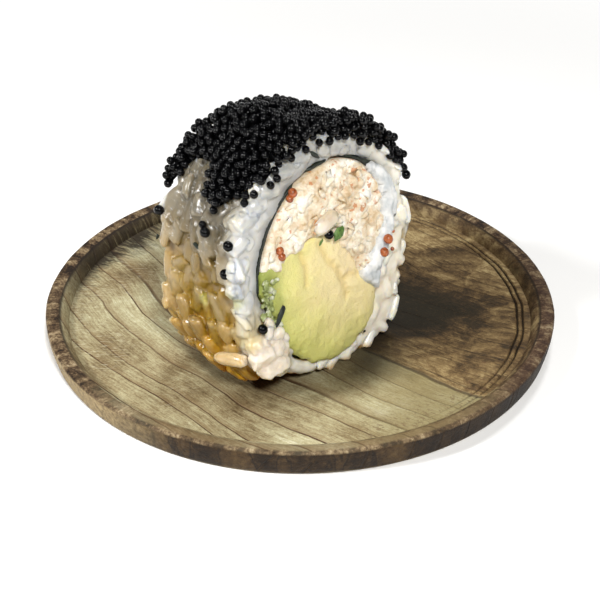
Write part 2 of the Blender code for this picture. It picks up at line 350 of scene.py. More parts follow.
def board_profile():
    """Radius and height in millimetres, up the outside, over the rim and down to the floor."""
    outside = [(49.0, 0.25), (49.2, 0.6), (49.5, 1.8), (49.75, 3.0), (49.92, 4.2), (49.98, 4.9)]
    rim = [(49.85, 5.22), (49.5, 5.38), (48.9, BOARD_HEIGHT), (48.2, 5.39), (47.8, 5.32)]
    cove = []
    for step in range(1, 10):
        turn = math.radians(90) * step / 9
        radius = COVE_FOOT + (RIM_INNER - COVE_FOOT) * (1 - math.sin(turn))
        cove.append((radius, FLOOR_HEIGHT + (5.2 - FLOOR_HEIGHT) * math.cos(turn) ** 1.6))
    grooves = []
    for middle in GROOVES:
        for offset, depth in ((0.32, 0.0), (0.14, 0.26), (-0.06, 0.34), (-0.22, 0.14), (-0.4, 0.0)):
            grooves.append((middle + offset, FLOOR_HEIGHT - depth))
    floor = [(radius, FLOOR_HEIGHT) for radius in (42.0, 38.0, 30.0, 18.0, 6.0)]
    return outside + rim + cove + grooves + floor


def extrude_board():
    bpy.ops.object.select_all(action="DESELECT")
    bpy.ops.mesh.primitive_circle_add(vertices=RIM_STEPS, radius=FOOT_RADIUS * MM, fill_type="NGON")
    board = bpy.context.object
    bpy.ops.object.mode_set(mode="EDIT")
    bpy.ops.mesh.select_all(action="SELECT")
    radius = FOOT_RADIUS
    height = 0.0
    for next_radius, next_height in board_profile():
        step = (0, 0, (next_height - height) * MM)
        bpy.ops.mesh.extrude_region_move(TRANSFORM_OT_translate={"value": step})
        share = next_radius / radius
        middle = (0, 0, next_height * MM)
        bpy.ops.transform.resize(value=(share, share, 1), center_override=middle)
        radius = next_radius
        height = next_height
    bpy.ops.mesh.select_all(action="SELECT")
    bpy.ops.mesh.normals_make_consistent(inside=False)
    bpy.ops.object.mode_set(mode="OBJECT")
    return board


board = extrude_board()
print("board has", len(board.data.polygons), "faces")

# %% [markdown]
# Nothing turned by hand is quite round, and an old board is worn. The vertices are moved a little by smooth
# noise, most at the rim. The grooves wander, and are deepest on the right, where the tool bit.

# %% Worn edges
def read_points(obj):
    """All vertices of a mesh as rows of x, y and z in millimetres."""
    points = np.empty(len(obj.data.vertices) * 3)
    obj.data.vertices.foreach_get("co", points)
    return points.reshape(-1, 3) / MM


def write_points(obj, points):
    obj.data.vertices.foreach_set("co", (points * MM).ravel())
    obj.data.update()


def cloud(point, size, seed=0.0):
    """Smooth noise between about -1 and 1 whose swells are the given number of millimetres."""
    return noise.noise(Vector(point) / size + Vector((seed, -seed, seed * 0.7)))


def wear_board(obj):
    points = read_points(obj)
    for index, (x, y, z) in enumerate(points):
        radius = math.hypot(x, y)
        if radius < 42.5 or z < 0.1:
            continue
        rim = min(max((z - 3.0) / 2.0, 0.0), 1.0)
        swell = 0.16 * cloud((x, y, z), 14.0) + 0.07 * cloud((x, y, z), 3.5, 5.0)
        points[index, :2] *= 1 + rim * swell / radius
        ripple = 0.07 * cloud((x, y, 0), 9.0, 9.0) + 0.03 * cloud((x, y, 0), 2.5, 3.0)
        points[index, 2] += rim * ripple
        if z < FLOOR_HEIGHT - 0.05 and radius < 46:
            to_right = max(math.cos(math.atan2(y, x) - math.radians(12)), 0) ** 1.5
            uneven = 1.3 + 0.5 * cloud((x, y, 0), 8, 7)
            points[index, 2] = FLOOR_HEIGHT - (FLOOR_HEIGHT - z) * (0.08 + to_right * uneven)
        if radius < 45.2:
            sideways = 0.3 * cloud((x, y, 0), 6.0, 4.0) + 0.1 * cloud((x, y, 0), 2.0, 6.0)
            points[index, :2] *= 1 + sideways / radius
    write_points(obj, points)


wear_board(board)
print("board's rim rises to", round(read_points(board)[:, 2].max(), 2), "mm")

# %% [markdown]
# ## The wood
#
# The wood is flat-sawn: its growth rings cross the board as long, nearly straight lines, all bending round
# a point far off at the back right, where the tree's middle was. So the pattern is made of the distance to
# that point. Blender's Wood texture could draw rings, but their spacing would be even, and here it isn't.
# Every part of this finish reads the same few signals, so a class of its own keeps them together.

# %% Signals of the wood
RING_CENTRE = (107.0, 103.0)


class WoodFinish(Finish):
    def __init__(self):
        super().__init__("wood", {"Specular IOR Level": 0.18})
        self.point = self.place()
        self.x, self.y, self.z = self.axes(self.point)
        self.radius = (self.x * self.x + self.y * self.y) ** 0.5
        self.azimuth = self.y.math("ARCTAN2", self.y, self.x)
        self.from_tree, self.round_tree = self.rings()
        along_fibres = self.vector(self.from_tree * 3.2, self.round_tree * 0.28, self.z * 2)
        self.fibre = self.noise(along_fibres, 1.0, 4, 0.6)
        along_dashes = self.vector(self.from_tree * 5.5, self.round_tree * 1.1, self.z)
        self.dashes = self.noise(along_dashes, 1.0, 2, 0.6)
        self.grit = self.noise(self.point, 0.5, 2, 0.7)
        self.blotch = self.noise(self.point, 13, 3)
        self.bands = self.noise(self.vector(self.azimuth * 10, 0, 0), 1.0, 4, 0.7)

    def rings(self):
        """Distance from the tree's middle, warped a little, and the way round it, in millimetres."""
        away_x = self.x - RING_CENTRE[0]
        away_y = self.y - RING_CENTRE[1]
        distance = (away_x * away_x + away_y * away_y) ** 0.5
        round_it = away_y.math("ARCTAN2", away_y, away_x)
        warp = self.noise(self.point, 34, 1) * 8 + self.noise(self.point, 7, 2) * 0.9
        return distance + warp - 4.5, round_it * 150


wood = WoodFinish()
print("the wood starts with", len(wood.tree.nodes), "nodes")

# %% [markdown]
# A year's growth starts pale, darkens towards its end and stops in a thin dark line. The fraction of the
# distance over the spacing counts from 0 to 1 within each year. The lines fade here and there.

# %% Growth lines
RING_SPACING = 5.3


def growth_lines(wood):
    """The thin dark line that ends each year's growth, and the darker late wood before it."""
    spread = wood.noise(wood.vector(wood.from_tree, 0, 0), 11, 1) * 2.6
    phase = (wood.from_tree / RING_SPACING + spread).fraction()
    straight = wood.vector(wood.from_tree, wood.round_tree, wood.z)
    faded = wood.noise(straight, 17, 2).rise(0.36, 0.58)
    line = phase.rise(0.9, 0.955) * phase.rise(0.98, 0.999, 1.0, 0.0)
    line = line * (0.55 + 0.45 * faded) * (0.55 + wood.grit)
    late = phase.rise(0.5, 0.97) * phase.rise(0.97, 0.995, 1.0, 0.0)
    return line, late


line, late = growth_lines(wood)
print("growth rings lie", RING_SPACING, "mm apart on average")

# %% [markdown]
# Most of the board is pale, olive-grey sapwood. Its colour comes from a ramp over three noises, fine
# fibres, broad blotches and grit. Towards the right it turns a dull olive, partly its own colour and partly
# painted shade, and at the left short whitish flecks lie in it.

# %% Pale wood
def pale_wood(wood, line, late):
    pale = wood.ramp(
        wood.fibre * 0.48 + wood.blotch * 0.72 + wood.grit * 0.3 - 0.25,
        (0.28, colour(88, 72, 48)),
        (0.42, colour(132, 117, 86)),
        (0.54, colour(162, 152, 118)),
        (0.64, colour(182, 176, 142)),
        (0.8, colour(212, 208, 184)),
    )
    pale = wood.blend(late * 0.5, pale, colour(128, 106, 74))
    pale = wood.blend(line, pale, colour(78, 55, 36))
    # Partly painted shade: towards the right the wood turns a duller, darker olive.
    pale = wood.blend(wood.x.rise(2, 24, 0.0, 0.75), pale, colour(128, 117, 80))
    slanted = wood.vector(wood.x * 0.5 + wood.y * 0.2, wood.y * 2.4, 0)
    flecks = wood.noise(slanted, 1.0, 2).rise(0.54, 0.66)
    flecks = flecks * wood.noise(wood.point, 18, 1).rise(0.45, 0.6) * wood.x.rise(-12, 4, 0.7, 0.0)
    return wood.blend(flecks * 0.45, pale, colour(212, 206, 178))


pale = pale_wood(wood, line, late)
print("with pale wood:", len(wood.tree.nodes), "nodes")

# %% [markdown]
# Nearer the tree's middle than one certain ring lies the heartwood: dark brown, with a curly figure. Beside
# the roll a painted shadow darkens it more. It is a little lighter at the back and along its edge, which is
# one more dark line.

# %% Heartwood
HEART_EDGE = 152.5


def heart_area(wood):
    """Where the heartwood lies, the line along its edge, and its curly figure."""
    beyond = wood.from_tree - HEART_EDGE
    in_heart = beyond.rise(-0.6, 0.1, 1.0, 0.0) * (wood.x + wood.blotch * 10).rise(-2, 10)
    edge = beyond.size().rise(0.1, 0.5, 1.0, 0.0) * wood.x.rise(8, 14)
    curls = wood.vector(wood.x * 0.8 + wood.blotch * 18, wood.y * 1.2 + wood.fibre * 4, wood.z)
    return in_heart, edge, wood.noise(curls, 5.0, 6, 0.75)


def heart_wood(wood, line, figure):
    beyond = wood.from_tree - HEART_EDGE
    back_right = beyond.rise(-46, -28, 0.14, 0.0)
    beside_pale = beyond.rise(-16, 0, 0.0, 0.1)
    # Painted shadow: the heartwood is darkened near the roll's right.
    beside_roll = ((wood.x - 21) * (wood.x - 21) + (wood.y + 1) * (wood.y + 1) * 1.6) ** 0.5
    painted_roll_shadow = beside_roll.rise(4, 19, 0.3, 0.0)
    heart = wood.ramp(
        figure * 1.1 + wood.fibre * 0.35 + wood.grit * 0.2 - 0.28 + back_right - painted_roll_shadow + beside_pale,
        (0.3, colour(14, 9, 5)),
        (0.43, colour(40, 27, 16)),
        (0.55, colour(82, 62, 38)),
        (0.67, colour(120, 98, 64)),
        (0.82, colour(166, 146, 104)),
    )
    return wood.blend(line * 0.35, heart, colour(30, 22, 15))


in_heart, heart_line, figure = heart_area(wood)
floor_colour = wood.blend(in_heart * 0.94, pale, heart_wood(wood, line, figure))
floor_colour = wood.blend(heart_line * 0.75, floor_colour, colour(54, 39, 27))
print("with heartwood:", len(wood.tree.nodes), "nodes")

# %% [markdown]
# Wear leaves small dark dashes along the fibres, and coarser specks near the rim at the front right.

# %% Specks
def speckle(wood, shade):
    shade = wood.blend(wood.dashes.rise(0.55, 0.7) * 0.32, shade, colour(92, 72, 45))
    stretched = wood.vector(wood.from_tree * 1.7, wood.round_tree * 0.6, 0)
    specks = wood.noise(stretched, 1.0, 4, 0.75).rise(0.54, 0.6)
    front_right = (wood.azimuth + 0.95).size().rise(0.25, 0.75, 1.0, 0.0)
    return wood.blend(specks * wood.radius.rise(35, 42) * front_right * 0.6, shade, colour(92, 68, 48))


floor_colour = speckle(wood, floor_colour)
print("with specks:", len(wood.tree.nodes), "nodes")

# %% [markdown]
# The wood is dark round the roll's foot, most of all at its right. A damp roll does darken wood, but there
# it is mostly shadow, and the lamps alone leave that shadow too light. So this part of the colour deepens
# it. It is painted on, and it stays where it is when the lights change. A Mapping node gives the point in
# the slice's own axes, and an ellipse there, made uneven by the blotches, is the patch's edge.

# %% Dark patch at the roll
SLICE_MIDDLE = (-0.5, -12.5, 0.0)
SLICE_TURN = math.radians(43)
PATCH_HALF_WIDTH = 17
PATCH_HALF_LENGTH = 13.5


def darken_at_roll(wood, shade):
    under = wood.place(tuple(value * MM for value in SLICE_MIDDLE), SLICE_TURN)
    across, along, _ = wood.axes(under)
    from_slice = ((across / PATCH_HALF_WIDTH) ** 2 + (along / PATCH_HALF_LENGTH) ** 2) ** 0.5
    from_slice = from_slice + (wood.blotch - 0.5) * 0.6
    shade = wood.blend(from_slice.rise(0.95, 1.6, 0.5, 0.0), shade, colour(52, 46, 28))
    at_right = from_slice.rise(1.0, 1.9, 0.85, 0.0) * wood.x.rise(2, 16)
    return wood.blend(at_right, shade, colour(20, 15, 9))


floor_colour = darken_at_roll(wood, floor_colour)
print("with the dark patch:", len(wood.tree.nodes), "nodes")

# %% [markdown]
# The cove is scorched at the back left, where dark streaks run in over the floor, and painted shade deepens
# it there. It is mottled at the right. Shade is painted under the rim, most at the back, and in the grooves.

# %% Cove
def cove_wood(wood, floor_colour):
    radius = wood.radius
    streaks = wood.noise(wood.vector(wood.azimuth * 60, radius * 0.2, 0), 1.0, 3, 0.75)
    # Scorch and painted shade at the back left.
    back_left = (wood.azimuth.size() - 2.4).size().rise(0.4, 1.0, 1.0, 0.0) * wood.y.rise(-16, 14)
    scorch_and_shade = (radius + (streaks - 0.5) * 12 + (wood.blotch - 0.5) * 18).rise(41.0, 46.5)
    top = wood.blend(scorch_and_shade * back_left * 0.95, floor_colour, colour(34, 26, 19))
    mottled = wood.ramp(
        wood.noise(wood.vector(wood.azimuth * 9, radius * 0.4, 5), 1.0, 5, 0.75),
        (0.36, colour(26, 18, 12)),
        (0.5, colour(78, 60, 40)),
        (0.62, colour(134, 116, 82)),
    )
    top = wood.blend(radius.rise(44.6, 46.4) * wood.x.rise(-10, 26, 0.1, 0.85), top, mottled)
    # Painted shade under the rim, most at the back.
    painted_shade_under_rim = radius.rise(46.7, 47.3) * wood.y.rise(-42, -12, 0.05, 0.9)
    top = wood.blend(painted_shade_under_rim, top, colour(32, 24, 18))
    # Painted shade in the grooves.
    sunk = wood.z.rise(FLOOR_HEIGHT - 0.36, FLOOR_HEIGHT - 0.06, 0.9, 0.0)
    painted_groove_shade = sunk * radius.rise(42.2, 42.5) * radius.rise(44.7, 44.9, 1.0, 0.0)
    return wood.blend(painted_groove_shade, top, colour(26, 19, 13))


top_colour = cove_wood(wood, floor_colour)
print("with the cove:", len(wood.tree.nodes), "nodes")

# %% [markdown]
# The rim is handled most, so it is weathered in patches of tan and dark brown, with thin lines across it.
# It is darker at the back right, and in front it takes on the floor's colour.

# %% Rim
def rim_wood(wood, floor_colour):
    around = wood.vector(wood.azimuth * 26, wood.radius * 0.5, wood.z * 0.5)
    rim = wood.ramp(
        wood.bands * 0.8 + wood.noise(around, 1.0, 6, 0.8) * 0.7 + wood.grit * 0.25 - 0.4,
        (0.38, colour(34, 25, 18)),
        (0.48, colour(86, 68, 49)),
        (0.57, colour(138, 119, 90)),
        (0.68, colour(184, 170, 140)),
    )
    crossing = (wood.bands - 0.5).size().rise(0.0, 0.02, 1.0, 0.0)
    rim = wood.blend(crossing * 0.25, rim, colour(54, 40, 30))
    back_right = wood.x.rise(18, 44) * wood.y.rise(2, 22, 0.45, 0.1)
    rim = wood.blend(back_right, rim, colour(66, 46, 36))
    front = wood.y.rise(-46, -24, 0.85, 0.0) * wood.radius.rise(48.9, 49.6, 1.0, 0.2)
    return wood.blend(front, rim, wood.blend(0.6, floor_colour, colour(104, 84, 56)))


top_colour = wood.blend(wood.radius.rise(47.3, 47.6), top_colour, rim_wood(wood, floor_colour))
print("with the rim:", len(wood.tree.nodes), "nodes")

# %% [markdown]
# Round the outside the board shows its end grain: dark, in upright bands with dark lines between them.
# Painted light makes it light at the left, and it is nearly black at the right, partly from painted shade.
# The underside has the same colours.

# %% Outside wall
def wall_wood(wood):
    dots = wood.noise(wood.vector(wood.azimuth * 50, wood.z * 0.9, 0), 1.0, 3, 0.7)
    wide_bands = wood.noise(wood.vector(wood.azimuth * 7, wood.z * 0.04, 3), 1.0, 3, 0.6)
    wall = wood.ramp(
        wide_bands * 0.7 + dots * 0.4,
        (0.4, colour(24, 17, 10)),
        (0.52, colour(44, 32, 19)),
        (0.64, colour(70, 53, 32)),
        (0.78, colour(98, 78, 48)),
    )
    band_line = (wide_bands - 0.5).size().rise(0.0, 0.022, 1.0, 0.0)
    wall = wood.blend(band_line * 0.7, wall, colour(20, 15, 12))
    # Partly painted shade: the wall darkens towards the right.
    wall = wood.blend(wood.x.rise(10, 35, 0.0, 0.75), wall, colour(28, 20, 14))
    # Painted light: the wall is lighter at the left.
    painted_light_left = wood.ramp(dots, (0.35, colour(116, 98, 68)), (0.65, colour(172, 151, 110)))
    return wood.blend((wood.x + wood.bands * 8).rise(-33, -16, 0.9, 0.0), wall, painted_light_left)


on_wall = wood.radius.rise(48.9, 49.3) * wood.z.rise(4.7, 5.15, 1.0, 0.0)
underneath = wood.z.rise(0.05, 0.2, 1.0, 0.0)
whole_colour = wood.blend(on_wall.largest(underneath), top_colour, wall_wood(wood))
wood.surface(Base_Color=whole_colour, Roughness=0.5 + wood.fibre * 0.2)
relief = wood.fibre * 0.5 + wood.dashes * 0.3 + wood.grit * 0.4 - line * 0.9 - heart_line * 0.8
wood.bump(relief + figure * in_heart * 0.6, 0.2)
print("the whole wood has", len(wood.tree.nodes), "nodes")

# %% [markdown]
# Every piece is finished in the same way: it gets its name and its material, moves with the one body that
# the object has, and stands for the solids that it dresses.

# %% Finishing a piece
def finish_piece(obj, name, finish, slot, *nodes):
    obj.name = name
    obj.data.name = name
    obj.data.materials.clear()
    obj.data.materials.append(finish.material)
    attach(obj, "root")
    for node in nodes:
        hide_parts(node)
    faces = sum(len(face.vertices) - 2 for face in obj.data.polygons)
    print(name, "has", faces, "triangles")
    return obj


def use_only(obj):
    bpy.ops.object.select_all(action="DESELECT")
    obj.select_set(True)
    bpy.context.view_layer.objects.active = obj


def smooth(obj, degrees=180):
    use_only(obj)
    bpy.ops.object.shade_smooth_by_angle(angle=math.radians(degrees), keep_sharp_edges=False)


smooth(board, 45)
finish_piece(board, "wooden_board", wood, "wood", "board")

# %% [markdown]
# ## The slice's own axes
#
# The slice stands askew on the board and its cuts lean back, which would make every sum below awkward. So
# it gets axes of its own: x across the near cut, depth behind the near cut, and height above the board's
# floor. A point is worked out there in millimetres and then carried into the world. These are the same
# values that place the solids.

# %% Slice axes
SLICE_LENGTH = 22.0
CUT_LEAN = math.tan(math.radians(7))
CENTRE_HEIGHT = 22.0
FAR_HEIGHT_SHARE = 0.94

to_near_cut = Vector((math.sin(SLICE_TURN), -math.cos(SLICE_TURN), 0)) * SLICE_LENGTH / 2
SLICE_FOOT = Vector((*SLICE_MIDDLE[:2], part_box("rice")[0].z / MM)) + to_near_cut
SLICE_PLACE = Matrix.Translation(SLICE_FOOT) @ Matrix.Rotation(SLICE_TURN, 4, "Z")
SLICE_AT = tuple(SLICE_FOOT * MM)


def to_world(points):
    """From x, depth and height to the world, all in millimetres."""
    upright = points.copy()
    upright[:, 1] += CUT_LEAN * points[:, 2]
    place = np.array(SLICE_PLACE)
    return upright @ place[:3, :3].T + place[:3, 3]


def to_slice(points):
    place = np.array(SLICE_PLACE.inverted())
    straight = points @ place[:3, :3].T + place[:3, 3]
    straight[:, 1] -= CUT_LEAN * straight[:, 2]
    return straight


print("the near cut's foot is at", [round(value, 1) for value in SLICE_FOOT])

# %% [markdown]
# Rays find the surface of a solid. Sent from outside towards the slice's axis they give its outline, and
# sent from the axis they give the hole in the rice. The axis sinks a little towards the far cut.

# %% Rays at the solids
def solid_tree(node):
    """A solid of the frame as a tree that rays can be sent at, in the slice's axes."""
    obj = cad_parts[node]
    points = to_slice(read_points(obj))
    faces = [tuple(face.vertices) for face in obj.data.polygons]
    return BVHTree.FromPolygons([Vector(point) for point in points], faces)


RICE_TREE = solid_tree("rice")


def section_centre(depth):
    share = min(max(depth / SLICE_LENGTH, 0.0), 1.0)
    return Vector((0, depth, CENTRE_HEIGHT * (1 + (FAR_HEIGHT_SHARE - 1) * share)))


def ray_from_outside(tree, angle, depth):
    """Where a ray towards the slice's axis meets a solid: the distance from the axis, and the normal."""
    centre = section_centre(depth)
    way = Vector((math.cos(angle), 0, math.sin(angle)))
    place, normal, _, _ = tree.ray_cast(centre + way * 60, -way, 60)
    if place is None:
        return None, None
    return (place - centre).length, normal


def inner_radius(angle, depth):
    """The radius of the hole in the rice."""
    way = Vector((math.cos(angle), 0, math.sin(angle)))
    place = RICE_TREE.ray_cast(section_centre(depth), way, 60)[0]
    return (place - section_centre(depth)).length


top_radius = ray_from_outside(RICE_TREE, math.radians(90), 11.0)[0]
print("the rice is", round(top_radius, 1), "mm from the axis at its top")

# %% [markdown]
# ## One cooked grain
#
# A grain of cooked short-grain rice is a plump capsule, a little bent, with a dent at one end where the
# germ was. It starts as a sphere of unit size, so that a matrix can give each copy its own length and
# width. Hundreds of copies are needed, so it has few faces, and smooth shading does the rest.

# %% Grain
def unit_grain(bend, blunt):
    """A capsule of unit size along Z. Blunt says how far each ring is widened towards a straight side."""
    bpy.ops.object.select_all(action="DESELECT")
    bpy.ops.mesh.primitive_uv_sphere_add(segments=9, ring_count=9, radius=0.5)
    grain = bpy.context.object
    bpy.ops.object.mode_set(mode="EDIT")
    mesh = bmesh.from_edit_mesh(grain.data)
    for ring in range(1, 9):
        level = 0.5 * math.cos(math.pi * ring / 9)
        wider = math.sin(math.pi * ring / 9) ** (-blunt)
        for vertex in mesh.verts:
            vertex.select = abs(vertex.co.z - level) < 0.01
        mesh.select_flush_mode()
        bmesh.update_edit_mesh(grain.data)
        bpy.ops.transform.resize(value=(wider, wider, 1), center_override=(0, 0, 0))
    for vertex in mesh.verts:
        vertex.select = vertex.co.z > 0.4 and vertex.co.x > 0
    mesh.select_flush_mode()
    bmesh.update_edit_mesh(grain.data)
    bpy.ops.transform.translate(value=(-0.05, 0, -0.06))
    bpy.ops.object.mode_set(mode="OBJECT")
    bow = grain.modifiers.new("bow", "SIMPLE_DEFORM")
    bow.deform_method = "BEND"
    bow.deform_axis = "Y"
    bow.angle = math.radians(bend)
    bpy.ops.object.modifier_apply(modifier="bow")
    return take_shape(grain)


def take_shape(obj):
    """A mesh as points and faces, for copying. The object itself is removed."""
    points = np.empty(len(obj.data.vertices) * 3)
    obj.data.vertices.foreach_get("co", points)
    faces = [list(face.vertices) for face in obj.data.polygons]
    bpy.data.objects.remove(obj)
    return points.reshape(-1, 3), faces


GRAIN_SHAPES = ((-30, 0.55), (-14, 0.7), (10, 0.5), (24, 0.65), (0, 0.8))
GRAINS = [unit_grain(bend, blunt) for bend, blunt in GRAIN_SHAPES]
print("a grain has", len(GRAINS[0][1]), "faces")

# %% [markdown]
# Grains that are only thrown at a surface overlap or leave holes. Here they are laid out flat first, as
# capsules of three discs each, and the discs push each other apart and turn their capsules, round after
# round. That is a tiny physics simulation in the plane.

# %% Settling grains in the plane
SQUEEZE = 0.76


def settle(centres, turns, lengths, widths, keep_in, rounds=60):
    """Pushes flat capsules apart until they hardly overlap."""
    count = len(centres)
    reach = (lengths - widths) / 2
    owner = np.repeat(np.arange(count), 3)
    allowed = (widths[owner][:, None] + widths[owner][None]) / 2 * SQUEEZE
    allowed[owner[:, None] == owner[None]] = 0
    for _ in range(rounds):
        along = np.stack([np.cos(turns), np.sin(turns)], 1)
        offsets = reach[:, None] * np.array([-1.0, 0.0, 1.0])
        discs = (centres[:, None] + along[:, None] * offsets[..., None]).reshape(-1, 2)
        apart = discs[:, None] - discs[None]
        distance = np.sqrt((apart**2).sum(2)) + 1e-6
        push = np.clip(allowed - distance, 0, None)
        force = (apart * (push / distance)[..., None]).sum(1).reshape(count, 3, 2) * 0.3
        centres = centres + force.mean(1)
        twist = force[:, 2] - force[:, 0]
        turns = turns + (along[:, 0] * twist[:, 1] - along[:, 1] * twist[:, 0]) * 0.25 / (reach + 0.5)
        centres = keep_in(centres)
    return centres, turns


print("discs may come to", SQUEEZE, "of their width from each other")

# %% [markdown]
# A matrix lays one unit grain in its place. The copies of many matrices become one mesh, which also
# remembers the copy that each point belongs to, so that every grain can have a tint of its own.

# %% Placing copies
def frame_matrix(centre, along, outward, length, width, thickness):
    """A matrix that lays a unit grain along one direction, with its flat side outwards."""
    along = along.normalized()
    outward = (outward - along * outward.dot(along)).normalized()
    across = along.cross(outward)
    columns = (outward * thickness, across * width, along * length)
    matrix = Matrix.Identity(4)
    for column, direction in enumerate(columns):
        for row in range(3):
            matrix[row][column] = direction[row]
    matrix.translation = centre
    return matrix


def copies(shapes, matrices, seed):
    """Points and faces of one copy for each matrix, and the copy that each point belongs to."""
    chance = random.Random(seed)
    points, faces, owners = [], [], []
    start = 0
    for number, matrix in enumerate(matrices):
        shape_points, shape_faces = chance.choice(shapes)
        block = np.array(matrix)
        points.append(shape_points @ block[:3, :3].T + block[:3, 3])
        faces += [[index + start for index in face] for face in shape_faces]
        owners += [number] * len(shape_points)
        start += len(shape_points)
    return np.concatenate(points), faces, np.array(owners)


def make_object(name, points, faces):
    """An object from points in the slice's axes."""
    mesh = bpy.data.meshes.new(name)
    mesh.from_pydata((to_world(points) * MM).tolist(), [], faces)
    mesh.update()
    made = bpy.data.objects.new(name, mesh)
    bpy.context.scene.collection.objects.link(made)
    return made


print("a copy is picked from", len(GRAINS), "shapes of grain")

# %% [markdown]
# The side is laid out unrolled, in columns along the roll and rows round it, and every second column is set
# half a row further on. The settled layout is then wrapped onto the rice: a ray finds the solid's outline
# for each grain, which is sunk a little below it.

# %% Grains on the side
GRAIN_LENGTH = 7.3
GRAIN_WIDTH = 3.15
SIDE_START = math.radians(-54)
SIDE_END = math.radians(231)
UNROLLED_RADIUS = 22.5


def side_layout(seed, tightness, scatter_turn):
    """Grains laid out on the unrolled side: columns along the roll, rows round it."""
    chance = np.random.default_rng(seed)
    width_here = SLICE_LENGTH - 1.6
    height_here = (SIDE_END - SIDE_START) * UNROLLED_RADIUS
    columns = round(width_here / (GRAIN_WIDTH * tightness))
    rows = round(height_here / (GRAIN_LENGTH * tightness))
    count = columns * rows
    row, column = np.divmod(np.arange(count), columns)
    depth = 0.8 + (column + 0.5) * width_here / columns
    arc = SIDE_START * UNROLLED_RADIUS + (row + 0.25 + 0.5 * (column % 2)) * height_here / rows
    centres = np.stack([arc, depth], 1) + chance.normal(0, 1.0, (count, 2))
    drift = np.array([cloud((place[0], place[1], seed), 9.0) for place in centres])
    turns = drift * 1.3 + chance.normal(0, scatter_turn, count)
    lengths = GRAIN_LENGTH * chance.uniform(0.58, 1.0, count)
    widths = GRAIN_WIDTH * chance.uniform(0.85, 1.2, count)

    def keep_in(places):
        places[:, 0] = np.clip(places[:, 0], SIDE_START * UNROLLED_RADIUS, SIDE_END * UNROLLED_RADIUS)
        places[:, 1] = np.clip(places[:, 1], 0.9, SLICE_LENGTH - 0.9)
        return places

    centres, turns = settle(centres, turns, lengths, widths, keep_in)
    return centres, turns, lengths, widths


def wrap_side(layout, sunk, seed):
    """Matrices that carry a flat layout onto the side of the rice, sunk below its outline."""
    chance = random.Random(seed)
    matrices = []
    for (arc, depth), turn, length, width in zip(*layout):
        angle = arc / UNROLLED_RADIUS
        radius, normal = ray_from_outside(RICE_TREE, angle, min(max(depth, 0.9), SLICE_LENGTH - 0.9))
        outward = Vector((math.cos(angle), 0, math.sin(angle)))
        round_it = Vector((-math.sin(angle), 0, math.cos(angle)))
        facing = (outward + normal * 0.8).normalized()
        tilt = chance.gauss(0, 0.1)
        along = round_it * math.cos(turn) + Vector((0, 1, 0)) * math.sin(turn) + outward * tilt
        along = along - facing * along.dot(facing) * 0.8
        radius += chance.gauss(0, 0.22) - sunk + 0.45 * cloud((arc, depth, 0), 6.0, 2.0)
        centre = section_centre(depth) + outward * radius
        centre.z = max(centre.z, width * 0.4)
        rolled = facing + along.cross(facing) * chance.gauss(0, 0.3)
        matrices.append(frame_matrix(centre, along, rolled, length, width, width * 0.56))
    return matrices


outer_layout = side_layout(3, 0.79, 0.24)
print("grains on the side:", len(outer_layout[0]))

# %% [markdown]
# On the cuts the grains lie every way and the knife has sliced through many of them. They are laid out in
# the ring between the seaweed and the outside, and what would stand out of the cut is pressed flat.

# %% Grains on the cuts
RING_COUNT = 76


def ring_layout(seed, depth):
    chance = np.random.default_rng(seed)
    angles = (np.arange(RING_COUNT) + chance.uniform(-0.4, 0.4, RING_COUNT)) / RING_COUNT * math.tau
    inner = np.array([inner_radius(angle, depth) for angle in angles])
    outer = np.array([ray_from_outside(RICE_TREE, angle, depth)[0] for angle in angles])
    radius = inner + (outer - inner) * chance.uniform(0.1, 0.92, RING_COUNT)
    centres = np.stack([radius * np.cos(angles), radius * np.sin(angles)], 1)
    room = np.clip((outer - inner - 2.4) / 3, 0.1, 1)
    turns = angles + math.pi / 2 + chance.normal(0, 0.9, RING_COUNT) * room
    lengths = chance.uniform(3.2, 6.6, RING_COUNT)
    widths = GRAIN_WIDTH * chance.uniform(0.75, 1.0, RING_COUNT)

    def keep_in(places):
        angle = np.arctan2(places[:, 1], places[:, 0])
        radius = np.hypot(places[:, 0], places[:, 1])
        nearest = np.round((angle % math.tau) / math.tau * RING_COUNT).astype(int) % RING_COUNT
        limited = np.clip(radius, inner[nearest] + 0.9, outer[nearest] - 1.2)
        return np.stack([limited * np.cos(angle), limited * np.sin(angle)], 1)

    centres, turns = settle(centres, turns, lengths, widths, keep_in, 45)
    angle = np.arctan2(centres[:, 1], centres[:, 0])
    share = (np.hypot(centres[:, 0], centres[:, 1]) - inner) / (outer - inner)
    narrow = outer - inner < 4.2
    turns = np.where(narrow, angle + math.pi / 2 + chance.normal(0, 0.25, RING_COUNT), turns)
    kept = (share > 0.32) | (np.cos(angle - math.radians(160)) < 0.6)
    return centres[kept], turns[kept], lengths[kept], widths[kept]


def lay_ring(layout, depth, outwards, seed):
    """Matrices for grains that lie in a cut. Outwards is -1 at the near cut and 1 at the far one."""
    chance = random.Random(seed)
    matrices = []
    for (x, z), turn, length, width in zip(*layout):
        share = depth / SLICE_LENGTH
        height = (CENTRE_HEIGHT + z) * (1 + (FAR_HEIGHT_SHARE - 1) * share)
        centre = Vector((x, depth - outwards * (width * 0.42 + chance.uniform(-0.2, 0.5)), height))
        centre.z = max(centre.z, width * 0.45)
        along = Vector((math.cos(turn), chance.gauss(0, 0.28), math.sin(turn)))
        matrices.append(frame_matrix(centre, along, Vector((0, outwards, 0)), length, width, width * 0.92))
    return matrices


def press_flat(points, keep=0.3, proud=0.2):
    """What stands out of either cut is pressed back to near its plane."""
    depth = points[:, 1]
    before = np.minimum(depth + proud, 0)
    behind = np.maximum(depth - SLICE_LENGTH - proud, 0)
    points[:, 1] = depth - (before + behind) * (1 - keep)
    return points


